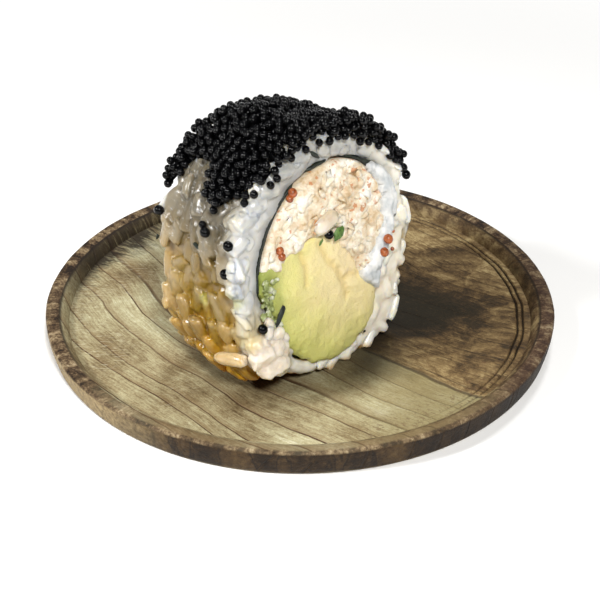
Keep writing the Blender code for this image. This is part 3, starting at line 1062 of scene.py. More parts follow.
near_ring = lay_ring(ring_layout(11, 0.4), 0.0, -1, 12)
far_ring = lay_ring(ring_layout(13, SLICE_LENGTH - 0.4), SLICE_LENGTH, 1, 14)
crisp_ring = lay_ring(ring_layout(17, 0.4), 0.0, -1, 18)[::3]
crisp_ring += lay_ring(ring_layout(19, SLICE_LENGTH - 0.4), SLICE_LENGTH, 1, 20)[::3]
print("grains on the cuts:", len(near_ring), "and", len(far_ring))

# %% [markdown]
# ## The sticky rice
#
# Sushi rice sticks: it is one sticky body in which grains can be felt but not told apart. A Displace
# modifier can draw a copy of a solid in, and a voxel Remesh melts everything joined to it into one skin.
# Smoothing then rounds the seams, as starch would.

# %% Melting copies into one body
def modify(obj, kind, **settings):
    """Adds a modifier with its settings and applies it."""
    use_only(obj)
    made = obj.modifiers.new(kind.lower(), kind)
    for setting, value in settings.items():
        setattr(made, setting, value)
    bpy.ops.object.modifier_apply(modifier=made.name)


def copy_of_solid(node, drawn_in):
    """A merged copy of a solid of the frame, moved inwards by a distance in millimetres."""
    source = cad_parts[node]
    copied = bpy.data.objects.new(node + "_copy", source.data.copy())
    bpy.context.scene.collection.objects.link(copied)
    use_only(copied)
    bpy.ops.object.mode_set(mode="EDIT")
    bpy.ops.mesh.select_all(action="SELECT")
    bpy.ops.mesh.remove_doubles(threshold=0.01 * MM)
    bpy.ops.object.mode_set(mode="OBJECT")
    if drawn_in:
        modify(copied, "DISPLACE", strength=-drawn_in * MM, mid_level=0.0, direction="NORMAL")
    return copied


def join(target, *others):
    use_only(target)
    for other in others:
        other.select_set(True)
    bpy.ops.object.join()
    return target


def melt(obj, voxel, rounds):
    modify(obj, "REMESH", mode="VOXEL", voxel_size=voxel * MM, adaptivity=0.0, use_smooth_shade=True)
    modify(obj, "SMOOTH", factor=0.5, iterations=rounds)
    return obj


print("solids to copy:", len(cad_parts))

# %% [markdown]
# A finish can read numbers that are stored at the vertices. The rice stores how near it is to the seaweed,
# where its white clump is, and how far it stands before the solid's outline.

# %% Numbers painted on the rice
CLUMP_MIDDLE = (-16.8, 9.8)


def paint(obj, name, values):
    """Stores one number at each vertex, for the finish to read."""
    attribute = obj.data.attributes.new(name, "FLOAT", "POINT")
    attribute.data.foreach_set("value", np.asarray(values, dtype=np.float32))


def ease(values, low, high):
    share = np.clip((values - low) / (high - low), 0, 1)
    return share * share * (3 - 2 * share)


def paint_rice(obj):
    """Stores how near the rice is to the seaweed, and where its white clump is."""
    x, depth, height = to_slice(read_points(obj)).T
    aside = x - CLUMP_MIDDLE[0]
    above = (height - CLUMP_MIDDLE[1]) * 1.1
    clump = np.sqrt(aside**2 + (depth + 1.0) ** 2 + above**2)
    paint(obj, "clump", ease(-clump, -6.0, -4.2))
    angle = np.arctan2(height - CENTRE_HEIGHT, x) % math.tau
    radius = np.hypot(height - CENTRE_HEIGHT, x)
    steps = [inner_radius(math.radians(step), 0.4) for step in range(0, 360, 3)]
    inner = np.interp(np.degrees(angle), np.arange(0, 363, 3), [*steps, steps[0]])
    beside = ease(-(radius - inner), -1.9, -0.1)
    upper_left = ease(np.cos(angle - math.radians(150)), 0.3, 0.8)
    upper_right = ease(np.cos(angle - math.radians(48)), 0.75, 0.95) * 0.6
    paint(obj, "seaweed_near", beside * np.maximum(upper_left, upper_right))


def paint_relief(obj):
    """Stores how far each point stands before the solid's outline in millimetres."""
    relief = []
    for x, depth, height in to_slice(read_points(obj)):
        centre = section_centre(depth)
        angle = math.atan2(height - centre.z, x)
        outline = ray_from_outside(RICE_TREE, angle, min(max(depth, 0.9), SLICE_LENGTH - 0.9))[0]
        relief.append(math.hypot(x, height - centre.z) - outline)
    paint(obj, "relief", relief)


print("the white clump's middle is", CLUMP_MIDDLE[1], "mm up the cut")

# %% [markdown]
# The body under the grains is the solid with its outside and its cuts drawn in. The hole's wall moves 0.35
# mm towards the axis, so that it closes on the fillings. After the melt, noise adds small lumps of starch,
# three times as high in the clump.

# %% Drawing in and roughening
HOLE_CLOSES = 0.35


def draw_in_rice(obj, side, cut):
    """Moves the outside and the hole's wall towards the axis, and both cuts inwards."""
    points = to_slice(read_points(obj))
    for index, (x, depth, height) in enumerate(points):
        centre = section_centre(depth)
        angle = math.atan2(height - centre.z, x)
        radius = math.hypot(x, height - centre.z)
        inside = min(max(depth, 0.4), SLICE_LENGTH - 0.4)
        outer = ease(radius - inner_radius(angle, inside), 0.5, 2.0)
        share = 1 - (outer * side + (1 - outer) * HOLE_CLOSES) / radius
        points[index] = (x * share, depth, centre.z + (height - centre.z) * share)
    middle = SLICE_LENGTH / 2
    points[:, 1] = middle + (points[:, 1] - middle) * (1 - cut / middle)
    write_points(obj, to_world(points))


def roughen(obj, strength):
    """Adds the small lumps of starch and, in the clump, of broken rice."""
    points = to_slice(read_points(obj))
    normals = np.empty(len(points) * 3)
    obj.data.vertices.foreach_get("normal", normals)
    turned = normals.reshape(-1, 3) @ np.array(SLICE_PLACE)[:3, :3]
    for index, (x, depth, height) in enumerate(points):
        lump = 0.08 * cloud((x, depth, height), 0.9) + 0.16 * cloud((x, depth, height), 2.2, 3.0)
        if depth < 1 and math.hypot(x - CLUMP_MIDDLE[0], height - CLUMP_MIDDLE[1]) < 5:
            lump *= 3
        points[index] += turned[index] * lump * strength
    write_points(obj, to_world(points))


rice_body = copy_of_solid("rice", 0.0)
draw_in_rice(rice_body, 1.0, 0.45)
print("the rice is drawn in to", len(rice_body.data.vertices), "vertices")

# %% [markdown]
# At the lower left the knife tore a clump of rice open, and along the near cut's left edge the blunt ends
# of pale grains show. Both are laid one by one, because their places matter.

# %% Clump and pale edge grains
def loose_grain(start, end, width=GRAIN_WIDTH, facing=(-0.3, -1, 0.4)):
    """A grain between two points of the slice's axes."""
    start, end = Vector(start), Vector(end)
    along = end - start
    return frame_matrix((start + end) / 2, along, Vector(facing), along.length, width, width * 0.9)


CLUMP = (
    loose_grain((-21.2, -0.6, 12.6), (-17.0, -1.4, 13.6), 3.4),
    loose_grain((-21.0, -0.8, 9.8), (-16.0, -1.8, 11.4), 3.8),
    loose_grain((-19.6, -1.6, 7.4), (-13.4, -2.4, 8.6), 3.3),
    loose_grain((-17.6, -1.6, 10.4), (-13.4, -1.2, 11.8), 3.2),
    loose_grain((-15.8, -1.2, 5.8), (-11.8, -0.6, 6.8), 2.6),
)
EDGE_ANGLES = range(104, 218, 10)


def edge_grain(degrees, chance):
    """A pale grain whose blunt end shows along the near cut's left edge."""
    angle = math.radians(degrees + chance.uniform(-2, 2))
    outward = Vector((math.cos(angle), 0, math.sin(angle)))
    round_it = Vector((-math.sin(angle), 0, math.cos(angle)))
    length = chance.uniform(4.4, 5.2)
    radius = ray_from_outside(RICE_TREE, angle, 0.9)[0] - chance.uniform(1.0, 1.4)
    centre = section_centre(chance.uniform(0.8, 1.3)) + outward * radius
    along = outward * chance.uniform(0.4, 0.9) + round_it + Vector((0, chance.uniform(-0.3, 0.3), 0))
    facing = outward + Vector((0, -1, 0))
    return frame_matrix(centre, along, facing, length, chance.uniform(3.4, 3.8), 3.0)


edge_chance = random.Random(21)
edge_grains = [edge_grain(degrees, edge_chance) for degrees in EDGE_ANGLES]
print("pale grains along the edge:", len(edge_grains))

# %% [markdown]
# The side's grains, those of both cuts, the pale edge and the clump are joined to the body and melted. A
# Decimate modifier then keeps the piece under its limit of triangles.

# %% Sticky body
side_grains = wrap_side(outer_layout, 0.8, 4)
points, faces, _ = copies(GRAINS, side_grains, 7)
side_part = make_object("side_part", points, faces)
points, faces, _ = copies(GRAINS, edge_grains, 22)
edge_part = make_object("edge_part", points, faces)
points, faces, _ = copies(GRAINS, near_ring + far_ring, 15)
ring_part = make_object("ring_part", press_flat(points), faces)
points, faces, _ = copies(GRAINS, CLUMP, 16)
clump_part = make_object("clump_part", points, faces)
rice_body = melt(join(rice_body, side_part, edge_part, ring_part, clump_part), 0.27, 3)
modify(rice_body, "DECIMATE", ratio=0.56)
roughen(rice_body, 1.0)
paint_rice(rice_body)
paint_relief(rice_body)
print("sticky rice has", len(rice_body.data.vertices), "vertices")

# %% [markdown]
# Cooked rice lets light in, so subsurface scattering gives it its soft light. Two materials share this
# finish: the sticky body's, and that of the whole grains, which also reads a tint for each grain. Its
# signals are kept in a class, as the wood's are.

# %% Signals of the rice
class RiceFinish(Finish):
    def __init__(self, name, single):
        constants = {
            "Subsurface Weight": 0.7,
            "Subsurface Radius": (1.0, 0.8, 0.5),
            "Subsurface Scale": 2.2 * MM,
            "Coat Weight": 0.25,
            "Coat Roughness": 0.2,
            "IOR": 1.42,
        }
        super().__init__(name, constants)
        self.single = single
        self.point = self.place(SLICE_AT, SLICE_TURN)
        self.x, back, self.height = self.axes(self.point)
        self.depth = back - self.height * CUT_LEAN
        self.patches = self.noise(self.point, 6, 3)
        self.fine = self.noise(self.point, 1.4, 3)
        on_near_cut = self.depth.rise(0.1, 1.4, 1.0, 0.0)
        on_far_cut = self.depth.rise(SLICE_LENGTH - 0.9, SLICE_LENGTH - 0.1)
        self.on_cut = on_near_cut.largest(on_far_cut)


print("the rice shows as cut rice down to 1.4 mm behind the near cut")

# %% [markdown]
# The side is greyish under the roe, where shade is painted, brown in the middle and amber at the foot, where
# warm reflected light is painted. It is lighter towards both cuts. Its folds get painted shade: more amber
# low down and darker high up. The grains' backs get painted light and are a little paler, so the stored
# relief moves the colour too.

# %% Colour of the side
AMBER = colour(212, 136, 16)


def side_ramps(rice):
    """The colours under the roe, at middle height and at the foot."""
    light = rice.patches * 0.75 + (rice.painted("tint") * 0.5 if rice.single else rice.fine * 0.3)
    # Painted shade: the side under the roe is greyer and darker.
    high = rice.ramp(
        light,
        (0.25, colour(76, 70, 56)),
        (0.6, colour(98, 90, 74)),
        (0.9, colour(132, 124, 106)),
    )
    middle = rice.ramp(
        light,
        (0.25, colour(108, 84, 20)),
        (0.6, colour(131, 104, 34)),
        (0.9, colour(158, 132, 58)),
    )
    # Painted warm reflected light: the foot is amber.
    lowest = rice.ramp(
        light,
        (0.25, colour(138, 98, 8)),
        (0.6, colour(168, 126, 22)),
        (0.9, colour(190, 150, 50)),
    )
    return high, middle, lowest


def side_colour(rice):
    height = rice.height
    high, middle, lowest = side_ramps(rice)
    body = rice.blend(height.rise(20, 34), middle, high)
    body = rice.blend(height.rise(5, 19, 1.0, 0.0), body, lowest)
    far_side = rice.blend(height.rise(22, 33), colour(180, 154, 108), colour(160, 152, 134))
    body = rice.blend(rice.depth.rise(14, 21, 0.0, 0.4), body, far_side)
    near_edge = (rice.depth + (rice.patches - 0.5) * 4).rise(0.5, 5.0, 1.0, 0.0)
    edge_light = rice.blend(height.rise(8, 26), colour(168, 138, 60), colour(204, 199, 186))
    body = rice.blend(near_edge * 0.75, body, edge_light)
    relief = rice.painted("relief")
    # Painted shade in the folds: amber low down, darker high up.
    fold = rice.blend(height.rise(6, 30), AMBER, colour(98, 88, 72))
    body = rice.blend(relief.rise(-1.5, -0.5, 0.18, 0.0), body, fold)
    # Painted light on the grains' backs.
    body = rice.blend(relief.rise(-0.3, 0.6, 0.0, 0.12), body, colour(214, 204, 180))
    # Painted warm reflected light: amber at the foot, most at the left.
    return rice.blend(height.rise(1.0, 5.0, 0.95, 0.0) * rice.x.rise(-15, 6, 1.0, 0.2), body, AMBER)


print("amber in linear numbers:", [round(value, 3) for value in AMBER[:3]])

# %% [markdown]
# The cut is nearly white: cooler and greyer at its upper left, warmer at its lower right, and yellower at
# its lower left.

# %% Colour of the cut
def cut_colour(rice):
    light = rice.patches * 0.7 + rice.fine * 0.3
    warm = rice.ramp(light, (0.3, colour(222, 214, 194)), (0.65, colour(240, 235, 222)))
    cool = rice.ramp(light, (0.3, colour(168, 169, 167)), (0.65, colour(208, 207, 202)))
    cool = rice.blend(rice.height.rise(36, 40, 0.0, 0.5), cool, colour(136, 134, 126))
    cut = rice.blend((rice.height * 0.6 - rice.x).rise(0, 22), warm, cool)
    # The cut's lower left is made yellower.
    yellowed = rice.height.rise(13, 23, 0.8, 0.0) * rice.x.rise(-17, -9, 1.0, 0.0)
    return rice.blend(yellowed, cut, colour(186, 166, 108))


print("the cut is soaked up to 23 mm")

# %% [markdown]
# The seaweed darkens the rice beside it, two yellow-green stains lie on the left side, and the lowest
# millimetre is ochre. The clump is white, and so is a whole grain with a tint above 0.85. High on the side
# whitish grey streaks of painted highlight lie.

# %% Stains and the whole rice
STAINS = (((-21.2, 1.3, 21.6), 2.4), ((-21.5, 9.6, 18.1), 1.4))


def stained(rice, whole):
    whole = rice.blend(rice.painted("seaweed_near") * 0.6, whole, colour(112, 115, 118))
    for place, reach in STAINS:
        away = [axis - value for axis, value in zip((rice.x, rice.depth, rice.height), place)]
        distance = (away[0] * away[0] + away[1] * away[1] + away[2] * away[2]) ** 0.5
        stain = (distance + rice.patches * 2).rise(reach * 0.4 + 1, reach + 1.2, 0.4, 0.0)
        whole = rice.blend(stain, whole, colour(170, 172, 84))
    return rice.blend(rice.height.rise(0.2, 1.3, 0.6, 0.0), whole, colour(186, 136, 40))


def whitened(rice, whole):
    white = rice.painted("clump")
    if rice.single:
        white = white.largest(rice.painted("tint").rise(0.85, 0.95))
    clump_white = rice.ramp(rice.patches, (0.35, colour(204, 188, 164)), (0.62, colour(226, 219, 208)))
    whole = rice.blend(white, whole, clump_white)
    across = rice.x * 1.3 + rice.height * 1.1
    # Painted highlight: whitish grey streaks high on the side, not on the cuts.
    streak_highlight = rice.noise(rice.vector(across, rice.depth * 0.9 - rice.height * 0.35, 0), 2.0, 4, 0.7)
    streak_highlight = streak_highlight.rise(0.56, 0.68) * rice.height.rise(23, 29) * (1 - rice.on_cut)
    return rice.blend(streak_highlight * 0.6, whole, colour(198, 198, 196))


def rice_finish(name, single):
    rice = RiceFinish(name, single)
    whole = rice.blend(rice.on_cut, side_colour(rice), cut_colour(rice))
    whole = whitened(rice, stained(rice, whole))
    rice.surface(Base_Color=whole, Roughness=0.18 + rice.patches * 0.25)
    grain = rice.noise(rice.point, 0.7, 2) * 0.6 + rice.noise(rice.point, 0.25, 2) * 0.25
    rice.bump(grain, 0.09, 0.6)
    return rice


finish_piece(rice_body, "sticky_rice", rice_finish("sticky_rice", False), "rice", "rice")

# %% [markdown]
# ## The outermost grains
#
# Some grains stay whole over the melted ones: every second one on the side, the pale ones along the near
# cut's edge and every third one of a second layout on the cuts. Six lie loose at the near cut, where the
# rice broke open under the knife. Each grain has its own tint. The loose ones are white, and the one at the
# foot half so.

# %% Whole grains
CUT_GRAINS = (
    loose_grain((-22.2, 7.4, 8.0), (-20.5, 0.2, 9.5), 2.6),
    loose_grain((-17.6, -1.2, 13.4), (-15.8, -1.3, 15.4), 1.9),
    loose_grain((-16.6, -1.1, 16.8), (-15.4, -1.0, 15.0), 1.6),
    loose_grain((-15.4, -1.0, 12.2), (-13.4, -1.0, 14.2), 1.8),
    loose_grain((-13.9, -0.8, 11.2), (-11.8, -0.9, 11.8), 1.7),
    loose_grain((-3.8, -1.5, 29.1), (1.5, -1.7, 30.9), 3.2),
)


crisp_side = wrap_side(outer_layout, 0.8, 4)[::2]
placed = crisp_side + edge_grains + crisp_ring + list(CUT_GRAINS)
points, faces, owners = copies(GRAINS, placed, 8)
points[:, 2] = np.maximum(points[:, 2], 0.05)
whole_grains = make_object("whole_grains", press_flat(points, 0.55, 1.6), faces)
roughen(whole_grains, 1.8)
paint_rice(whole_grains)
paint_relief(whole_grains)
tints = np.random.default_rng(9).uniform(0, 0.7, len(placed))
tints[-len(CUT_GRAINS) :] = (0.89, *[1.0] * (len(CUT_GRAINS) - 1))
paint(whole_grains, "tint", tints[owners])
smooth(whole_grains)
finish_piece(whole_grains, "rice_grains", rice_finish("rice_grains", True), "rice")

# %% [markdown]
# ## The seaweed
#
# The sheet shows only as a thin dark line in the cut, where rice and filling don't cover it: along the
# left, at the top, and as a thick dark arc at the upper right. So a finer copy of the solid keeps its edge
# at the cut there, and sinks behind it elsewhere. In the arc it is also lapped inwards, which makes it
# thick.

# %% Seaweed
SHOWN = ((148, 34, -0.4), (49, 11, 0.75), (92, 5, -0.1))


def seaweed_edge(angle):
    """How far the sheet's edge stands before the cut in millimetres: negative where it is covered."""
    edge = -1.6
    for middle, reach, proud in SHOWN:
        away = abs((math.degrees(angle) - middle + 180) % 360 - 180)
        edge = max(edge, proud - max(away - reach, 0) * 0.16)
    return edge


def make_seaweed():
    sheet = copy_of_solid("nori", 0.0)
    melt(sheet, 0.2, 1)
    modify(sheet, "DECIMATE", ratio=0.4)
    points = to_slice(read_points(sheet))
    for index, (x, depth, height) in enumerate(points):
        angle = math.atan2(height - CENTRE_HEIGHT, x)
        fade = max(1 - max(depth, 0) / 6, 0)
        lapped = math.exp(-(((math.degrees(angle) - 49) / 10) ** 4))
        if math.hypot(x, height - CENTRE_HEIGHT) < inner_radius(angle, 0.4) - 0.55:
            points[index, 0] -= 0.8 * lapped * fade * math.cos(angle)
            points[index, 2] -= 0.8 * lapped * fade * math.sin(angle)
        wave = 0.12 * cloud((x, 0, height), 1.8)
        points[index, 1] = depth - fade * (seaweed_edge(angle) + wave)
        ripple = 0.14 * cloud((x * 0.5, depth, height * 0.5), 2.4, 4.0)
        points[index, 0] += math.cos(angle) * ripple
        points[index, 2] += math.sin(angle) * ripple
    write_points(sheet, to_world(points))
    return sheet


def seaweed_finish():
    weed = Finish("seaweed", {"Specular IOR Level": 0.4})
    point = weed.place()
    veins = weed.noise(point, 0.8, 4, 0.7)
    shade = weed.ramp(veins, (0.35, colour(14, 18, 16)), (0.7, colour(44, 52, 40)))
    weed.surface(Base_Color=shade, Roughness=0.35 + veins * 0.3)
    weed.bump(veins, 0.12, 0.9)
    return weed


seaweed = seaweed_finish()
finish_piece(make_seaweed(), "seaweed_sheet", seaweed, "seaweed", "nori")

# %% [markdown]
# ## The fillings
#
# Each filling is a fine remesh of its solid, because the solid has the outline already. The avocado and the
# cheese then get a relief on their cuts, and an outline that noise makes a little uneven.

# %% Shaping a cut
def grow(obj, distance):
    modify(obj, "DISPLACE", strength=distance * MM, mid_level=0.0, direction="NORMAL")


def line_distance(x, height, start, end):
    """Distance from points of the cut to a stretch of line."""
    ax, az = start
    bx, bz = end
    run_x, run_z = bx - ax, bz - az
    share = np.clip(((x - ax) * run_x + (height - az) * run_z) / (run_x**2 + run_z**2), 0, 1)
    return np.hypot(x - ax - share * run_x, height - az - share * run_z)


def shape_cut(obj, relief, edge_size, edge_depth, seed):
    """Moves the cuts out by relief(x, height), and makes the outline uneven."""
    points = to_slice(read_points(obj))
    x, depth, height = points.T
    near = ease(-depth, -2.2, 0.2)
    far = ease(depth, SLICE_LENGTH - 2.2, SLICE_LENGTH)
    lift = relief(x, height)
    points[:, 1] += far * lift * 0.8 - near * lift
    middle = points[:, (0, 2)].mean(0)
    away = points[:, (0, 2)] - middle
    away /= np.linalg.norm(away, axis=1)[:, None] + 1e-6
    ragged = np.array([cloud((px, pd * 0.3, ph), edge_size, seed) for px, pd, ph in points])
    points[:, (0, 2)] += away * (ragged * edge_depth)[:, None]
    write_points(obj, to_world(points))


print("a cut is shaped down to 2.2 mm behind its plane")

# %% [markdown]
# The cut avocado is soft and faintly domed, with shallow creases where two pieces were pressed together,
# and a ragged lower edge. Its cut is moved in and out by noise and by the creases.

# %% Avocado
FOLDS = (
    ((-2.6, 26.0), (-1.2, 22.6), (1.0, 19.4), (2.4, 16.6), (3.0, 13.6)),
    ((2.2, 17.0), (4.2, 17.6), (6.4, 16.6), (8.6, 17.4)),
    ((-7.0, 25.4), (-6.0, 22.4), (-6.6, 19.6)),
)
CREASES = [pair for fold in FOLDS for pair in zip(fold, fold[1:])]


def avocado_relief(x, height):
    places = [(px, 0, ph) for px, ph in zip(x, height)]
    swell = np.array([cloud(place, 6.0, 1.0) for place in places])
    lumps = np.array([cloud(place, 2.4, 5.0) for place in places])
    fine = np.array([cloud(place, 1.0, 2.0) for place in places])
    crease = np.minimum.reduce([line_distance(x, height, *ends) for ends in CREASES])
    return 0.5 * swell + 0.1 * lumps + 0.12 * fine - 0.4 * np.exp(-((crease / 0.9) ** 2))


def make_avocado():
    flesh = copy_of_solid("avocado", 0.0)
    melt(flesh, 0.33, 4)
    grow(flesh, 0.42)
    shape_cut(flesh, avocado_relief, 1.7, 0.6, 3.0)
    points = to_slice(read_points(flesh))
    creases = [line_distance(points[:, 0], points[:, 2], *ends) for ends in CREASES]
    paint(flesh, "crease", ease(-np.minimum.reduce(creases), -1.1, -0.1))
    return flesh


avocado = make_avocado()
print("the avocado has", len(CREASES), "stretches of crease")

# %% [markdown]
# Avocado goes from yellow-green under the skin to pale cream near the stone, with a few ochre pits, and the
# creases are darker.

# %% Avocado finish
def avocado_finish():
    constants = {
        "Subsurface Weight": 0.2,
        "Subsurface Radius": (1.0, 0.8, 0.3),
        "Subsurface Scale": 1.0 * MM,
    }
    flesh = Finish("avocado", constants)
    point = flesh.place(SLICE_AT, SLICE_TURN)
    x, _, height = flesh.axes(point)
    clouds = flesh.noise(point, 6, 3)
    across = (x - 6.5) * (x - 6.5) + (height - 21.5) * (height - 21.5)
    green = across**0.5 / 25 + (clouds - 0.5) * 0.4
    tone = flesh.ramp(
        green,
        (0.1, colour(232, 213, 168)),
        (0.4, colour(228, 213, 156)),
        (0.62, colour(216, 208, 136)),
        (0.82, colour(200, 199, 116)),
        (1.0, colour(150, 158, 72)),
    )
    skin_side = (x + (clouds - 0.5) * 7).rise(-14.2, -11.0, 1.0, 0.0)
    tone = flesh.blend(skin_side * 0.6, tone, colour(128, 142, 58))
    pits = flesh.noise(point, 0.9, 2).rise(0.62, 0.72) * flesh.noise(point, 5, 1).rise(0.4, 0.6) * 0.45
    tone = flesh.blend(pits, tone, colour(184, 160, 78))
    tone = flesh.blend(flesh.painted("crease") * 0.4, tone, colour(206, 176, 104))
    flesh.surface(Base_Color=tone, Roughness=0.38 + clouds * 0.15)
    fine = flesh.noise(point, 0.5, 3)
    flesh.bump(fine * 0.9 + flesh.noise(point, 0.25, 2) * 0.5, 0.16, 0.9)
    return flesh


finish_piece(avocado, "avocado_flesh", avocado_finish(), "avocado", "avocado")

# %% [markdown]
# ## The crab salad
#
# Shredded crab in dressing is a heap of short fibres and small lumps, cream with flecks of toasted orange.
# Flakes are scattered over both cuts of a copy of the solid and melted into it, and a few thin ones stay
# whole on top. A flake that would reach past the crab is thrown again.

# %% Crab flakes
def unit_flake(seed):
    """A ragged sliver: a stretched sphere whose points are pushed about."""
    bpy.ops.object.select_all(action="DESELECT")
    bpy.ops.mesh.primitive_ico_sphere_add(subdivisions=2, radius=0.5)
    flake = bpy.context.object
    for vertex in flake.data.vertices:
        vertex.co *= 1 + 0.5 * noise.noise(vertex.co * 3.1 + Vector((seed, 0, 0)))
    return take_shape(flake)


FLAKES = [unit_flake(seed) for seed in range(6)]
CRAB_TREE = solid_tree("crab_salad")


def flakes_on_cut(count, outwards, sizes, seed, sunk):
    """Flakes on the crab salad's part of a cut, lying every way."""
    chance = random.Random(seed)
    low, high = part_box("crab_salad")
    corners = to_slice(np.array([[low.x, low.y, low.z], [high.x, high.y, high.z]]) / MM)
    inwards = Vector((0, -outwards, 0))
    matrices = []
    while len(matrices) < count:
        x = chance.uniform(-17, 17)
        height = chance.uniform(corners[:, 2].min(), corners[:, 2].max())
        start = Vector((x, -30 if outwards < 0 else 60, height))
        place = CRAB_TREE.ray_cast(start, inwards, 90)[0]
        if place is None:
            continue
        length = chance.uniform(*sizes)
        turn = chance.uniform(0, math.pi)
        along = Vector((math.cos(turn), chance.gauss(0, 0.4), math.sin(turn)))
        tip = Vector((math.cos(turn), 0, math.sin(turn))) * length * 0.45
        if not all(CRAB_TREE.ray_cast(start + end, inwards, 90)[0] for end in (tip, -tip)):
            continue
        centre = place + inwards * (sunk - chance.uniform(0, 0.5))
        width = length * chance.uniform(0.3, 0.55)
        facing = Vector((chance.gauss(0, 0.3), outwards, chance.gauss(0, 0.3)))
        matrices.append(frame_matrix(centre, along, facing, length, width, width * 0.6))
    return matrices


print("shapes of flake:", len(FLAKES))

# %% [markdown]
# The flakes that are melted in lie about at the surface of the crab, and the whole ones stand 0.3 to 0.8 mm
# before it. Both pieces share one finish.

# %% Crab pieces
def make_crab():
    body = copy_of_solid("crab_salad", 0.15)
    flakes = flakes_on_cut(240, -1, (1.4, 4.6), 31, 0.4) + flakes_on_cut(160, 1, (1.4, 4.6), 32, 0.4)
    points, faces, _ = copies(FLAKES, flakes, 33)
    melt(join(body, make_object("crab_part", points, faces)), 0.25, 2)
    grow(body, 0.4)
    return body


def crab_finish():
    constants = {
        "Subsurface Weight": 0.25,
        "Subsurface Radius": (1.0, 0.7, 0.45),
        "Subsurface Scale": 1.0 * MM,
    }
    crab = Finish("crab_salad", constants)
    point = crab.place()
    clouds = crab.noise(point, 4.5, 3)
    fine = crab.noise(point, 0.9, 3, 0.65)
    tone = crab.ramp(
        clouds * 0.6 + fine * 0.42,
        (0.3, colour(170, 136, 94)),
        (0.41, colour(204, 180, 144)),
        (0.52, colour(222, 209, 186)),
        (0.64, colour(242, 238, 228)),
    )
    flecks = crab.noise(point, 1.2, 2).rise(0.58, 0.64) * crab.noise(point, 5, 1).rise(0.42, 0.6) * 0.8
    tone = crab.blend(flecks, tone, colour(188, 118, 62))
    crab.surface(Base_Color=tone, Roughness=0.3 + fine * 0.3)
    crab.bump(fine, 0.2, 0.8)
    return crab


crab = crab_finish()
finish_piece(make_crab(), "crab_body", crab, "crab", "crab_salad")
thin_flakes = flakes_on_cut(60, -1, (1.6, 4.2), 34, -0.3) + flakes_on_cut(30, 1, (1.6, 4.2), 35, -0.3)
points, faces, _ = copies(FLAKES, thin_flakes, 36)
shreds = make_object("crab_shreds", points, faces)
smooth(shreds)
finish_piece(shreds, "crab_shreds", crab, "crab")

# %% [markdown]
# ## The soft cheese
#
# Soft cheese smears under the knife, so its cut is smooth, with a few low folds, and stands a little proud.

# %% Cheese
def cheese_relief(x, height):
    folds = np.array([cloud((px * 1.8, 0, ph * 0.6), 1.7, 6.0) for px, ph in zip(x, height)])
    lumps = np.array([cloud((px, 0, ph), 1.2, 7.0) for px, ph in zip(x, height)])
    return 1.0 + 0.6 * folds + 0.2 * lumps


def make_cheese():
    cheese = copy_of_solid("cream_cheese", 0.0)
    melt(cheese, 0.26, 3)
    grow(cheese, 0.95)
    shape_cut(cheese, cheese_relief, 2.2, 0.4, 8.0)
    return cheese


def cheese_finish():
    constants = {
        "Subsurface Weight": 0.25,
        "Subsurface Radius": (1.0, 0.9, 0.75),
        "Subsurface Scale": 1.0 * MM,
    }
    cheese = Finish("soft_cheese", constants)
    point = cheese.place()
    clouds = cheese.noise(point, 2.5, 3)
    tone = cheese.ramp(clouds, (0.35, colour(184, 189, 191)), (0.6, colour(224, 224, 222)))
    cheese.surface(Base_Color=tone, Roughness=0.3 + clouds * 0.2)
    cheese.bump(cheese.noise(point, 0.8, 2), 0.12, 0.6)
    return cheese


finish_piece(make_cheese(), "cheese_smear", cheese_finish(), "cheese", "cream_cheese")

# %% [markdown]
# ## The roe
#
# The roe is a heap of wet black beads, each under two millimetres across. The heap's solid says how high it
# may grow, and two humps and a dip are added, as in a heap that was spooned on. It leans out over the near
# cut.

# %% Outline of the heap
BEAD_RADIUS = 0.76
ROE_TREE = solid_tree("black_roe")
FRONT_DROP = 1.0
HUMPS = ((63, 1.5, 0.9), (98, 15.0, 0.8), (82, 8.0, -0.9))


def rice_top(angle, depth):
    """Radius of the rice under a bead. Before the near cut it falls away round the edge."""
    inside = min(max(depth, 0.95), SLICE_LENGTH - 0.95)
    radius = ray_from_outside(RICE_TREE, angle, inside)[0]
    beyond = max(0.5 - depth, depth - SLICE_LENGTH + 0.5, 0.0)
    return radius - FRONT_DROP * beyond**1.4


def front_limit(angle):
    """The heap leans out over the near cut, most of all right of its top."""
    away = (math.degrees(angle) - 74) / 26
    return -0.6 - 0.9 * math.exp(-(away**2))


def heap_top(angle, depth):
    """The heap's outline, with the humps and the dip of a heap that was spooned on."""
    inside = min(max(depth, 0.1), SLICE_LENGTH - 0.1)
    top = ray_from_outside(ROE_TREE, angle, inside)[0]
    if top is None:
        return None
    for degrees, along, height in HUMPS:
        away = ((math.degrees(angle) - degrees) / 9) ** 2 + ((depth - along) / 4) ** 2
        top += height * math.exp(-away)
    return top


print("a bead is", BEAD_RADIUS * 2, "mm across")

# %% [markdown]
# Beads are dropped one at a time onto the rice: of a few places tried, the lowest is kept, so they fill
# hollows first, as real ones roll. It ends when the heap is full, which shows in many misses. A rigid body
# simulation could do the same, but would be slow and would let beads roll off the top.

# %% Dropping beads
BEAD_PITCH = BEAD_RADIUS * 2 * 0.87
TRIES = 10
MOST_MISSES = 260
MOST_BEADS = 2200


def resting_radius(beads, angle, depth, lowest):
    """How far from the axis a bead stops that is dropped towards it."""
    if not len(beads):
        return lowest
    way = np.array([math.cos(angle), 0.0, math.sin(angle)])
    offset = beads - np.array(section_centre(depth))
    along = offset @ way
    aside = (offset**2).sum(1) - along**2
    touching = aside < BEAD_PITCH**2
    if not touching.any():
        return lowest
    stops = along[touching] + np.sqrt(BEAD_PITCH**2 - aside[touching])
    return max(lowest, stops.max())


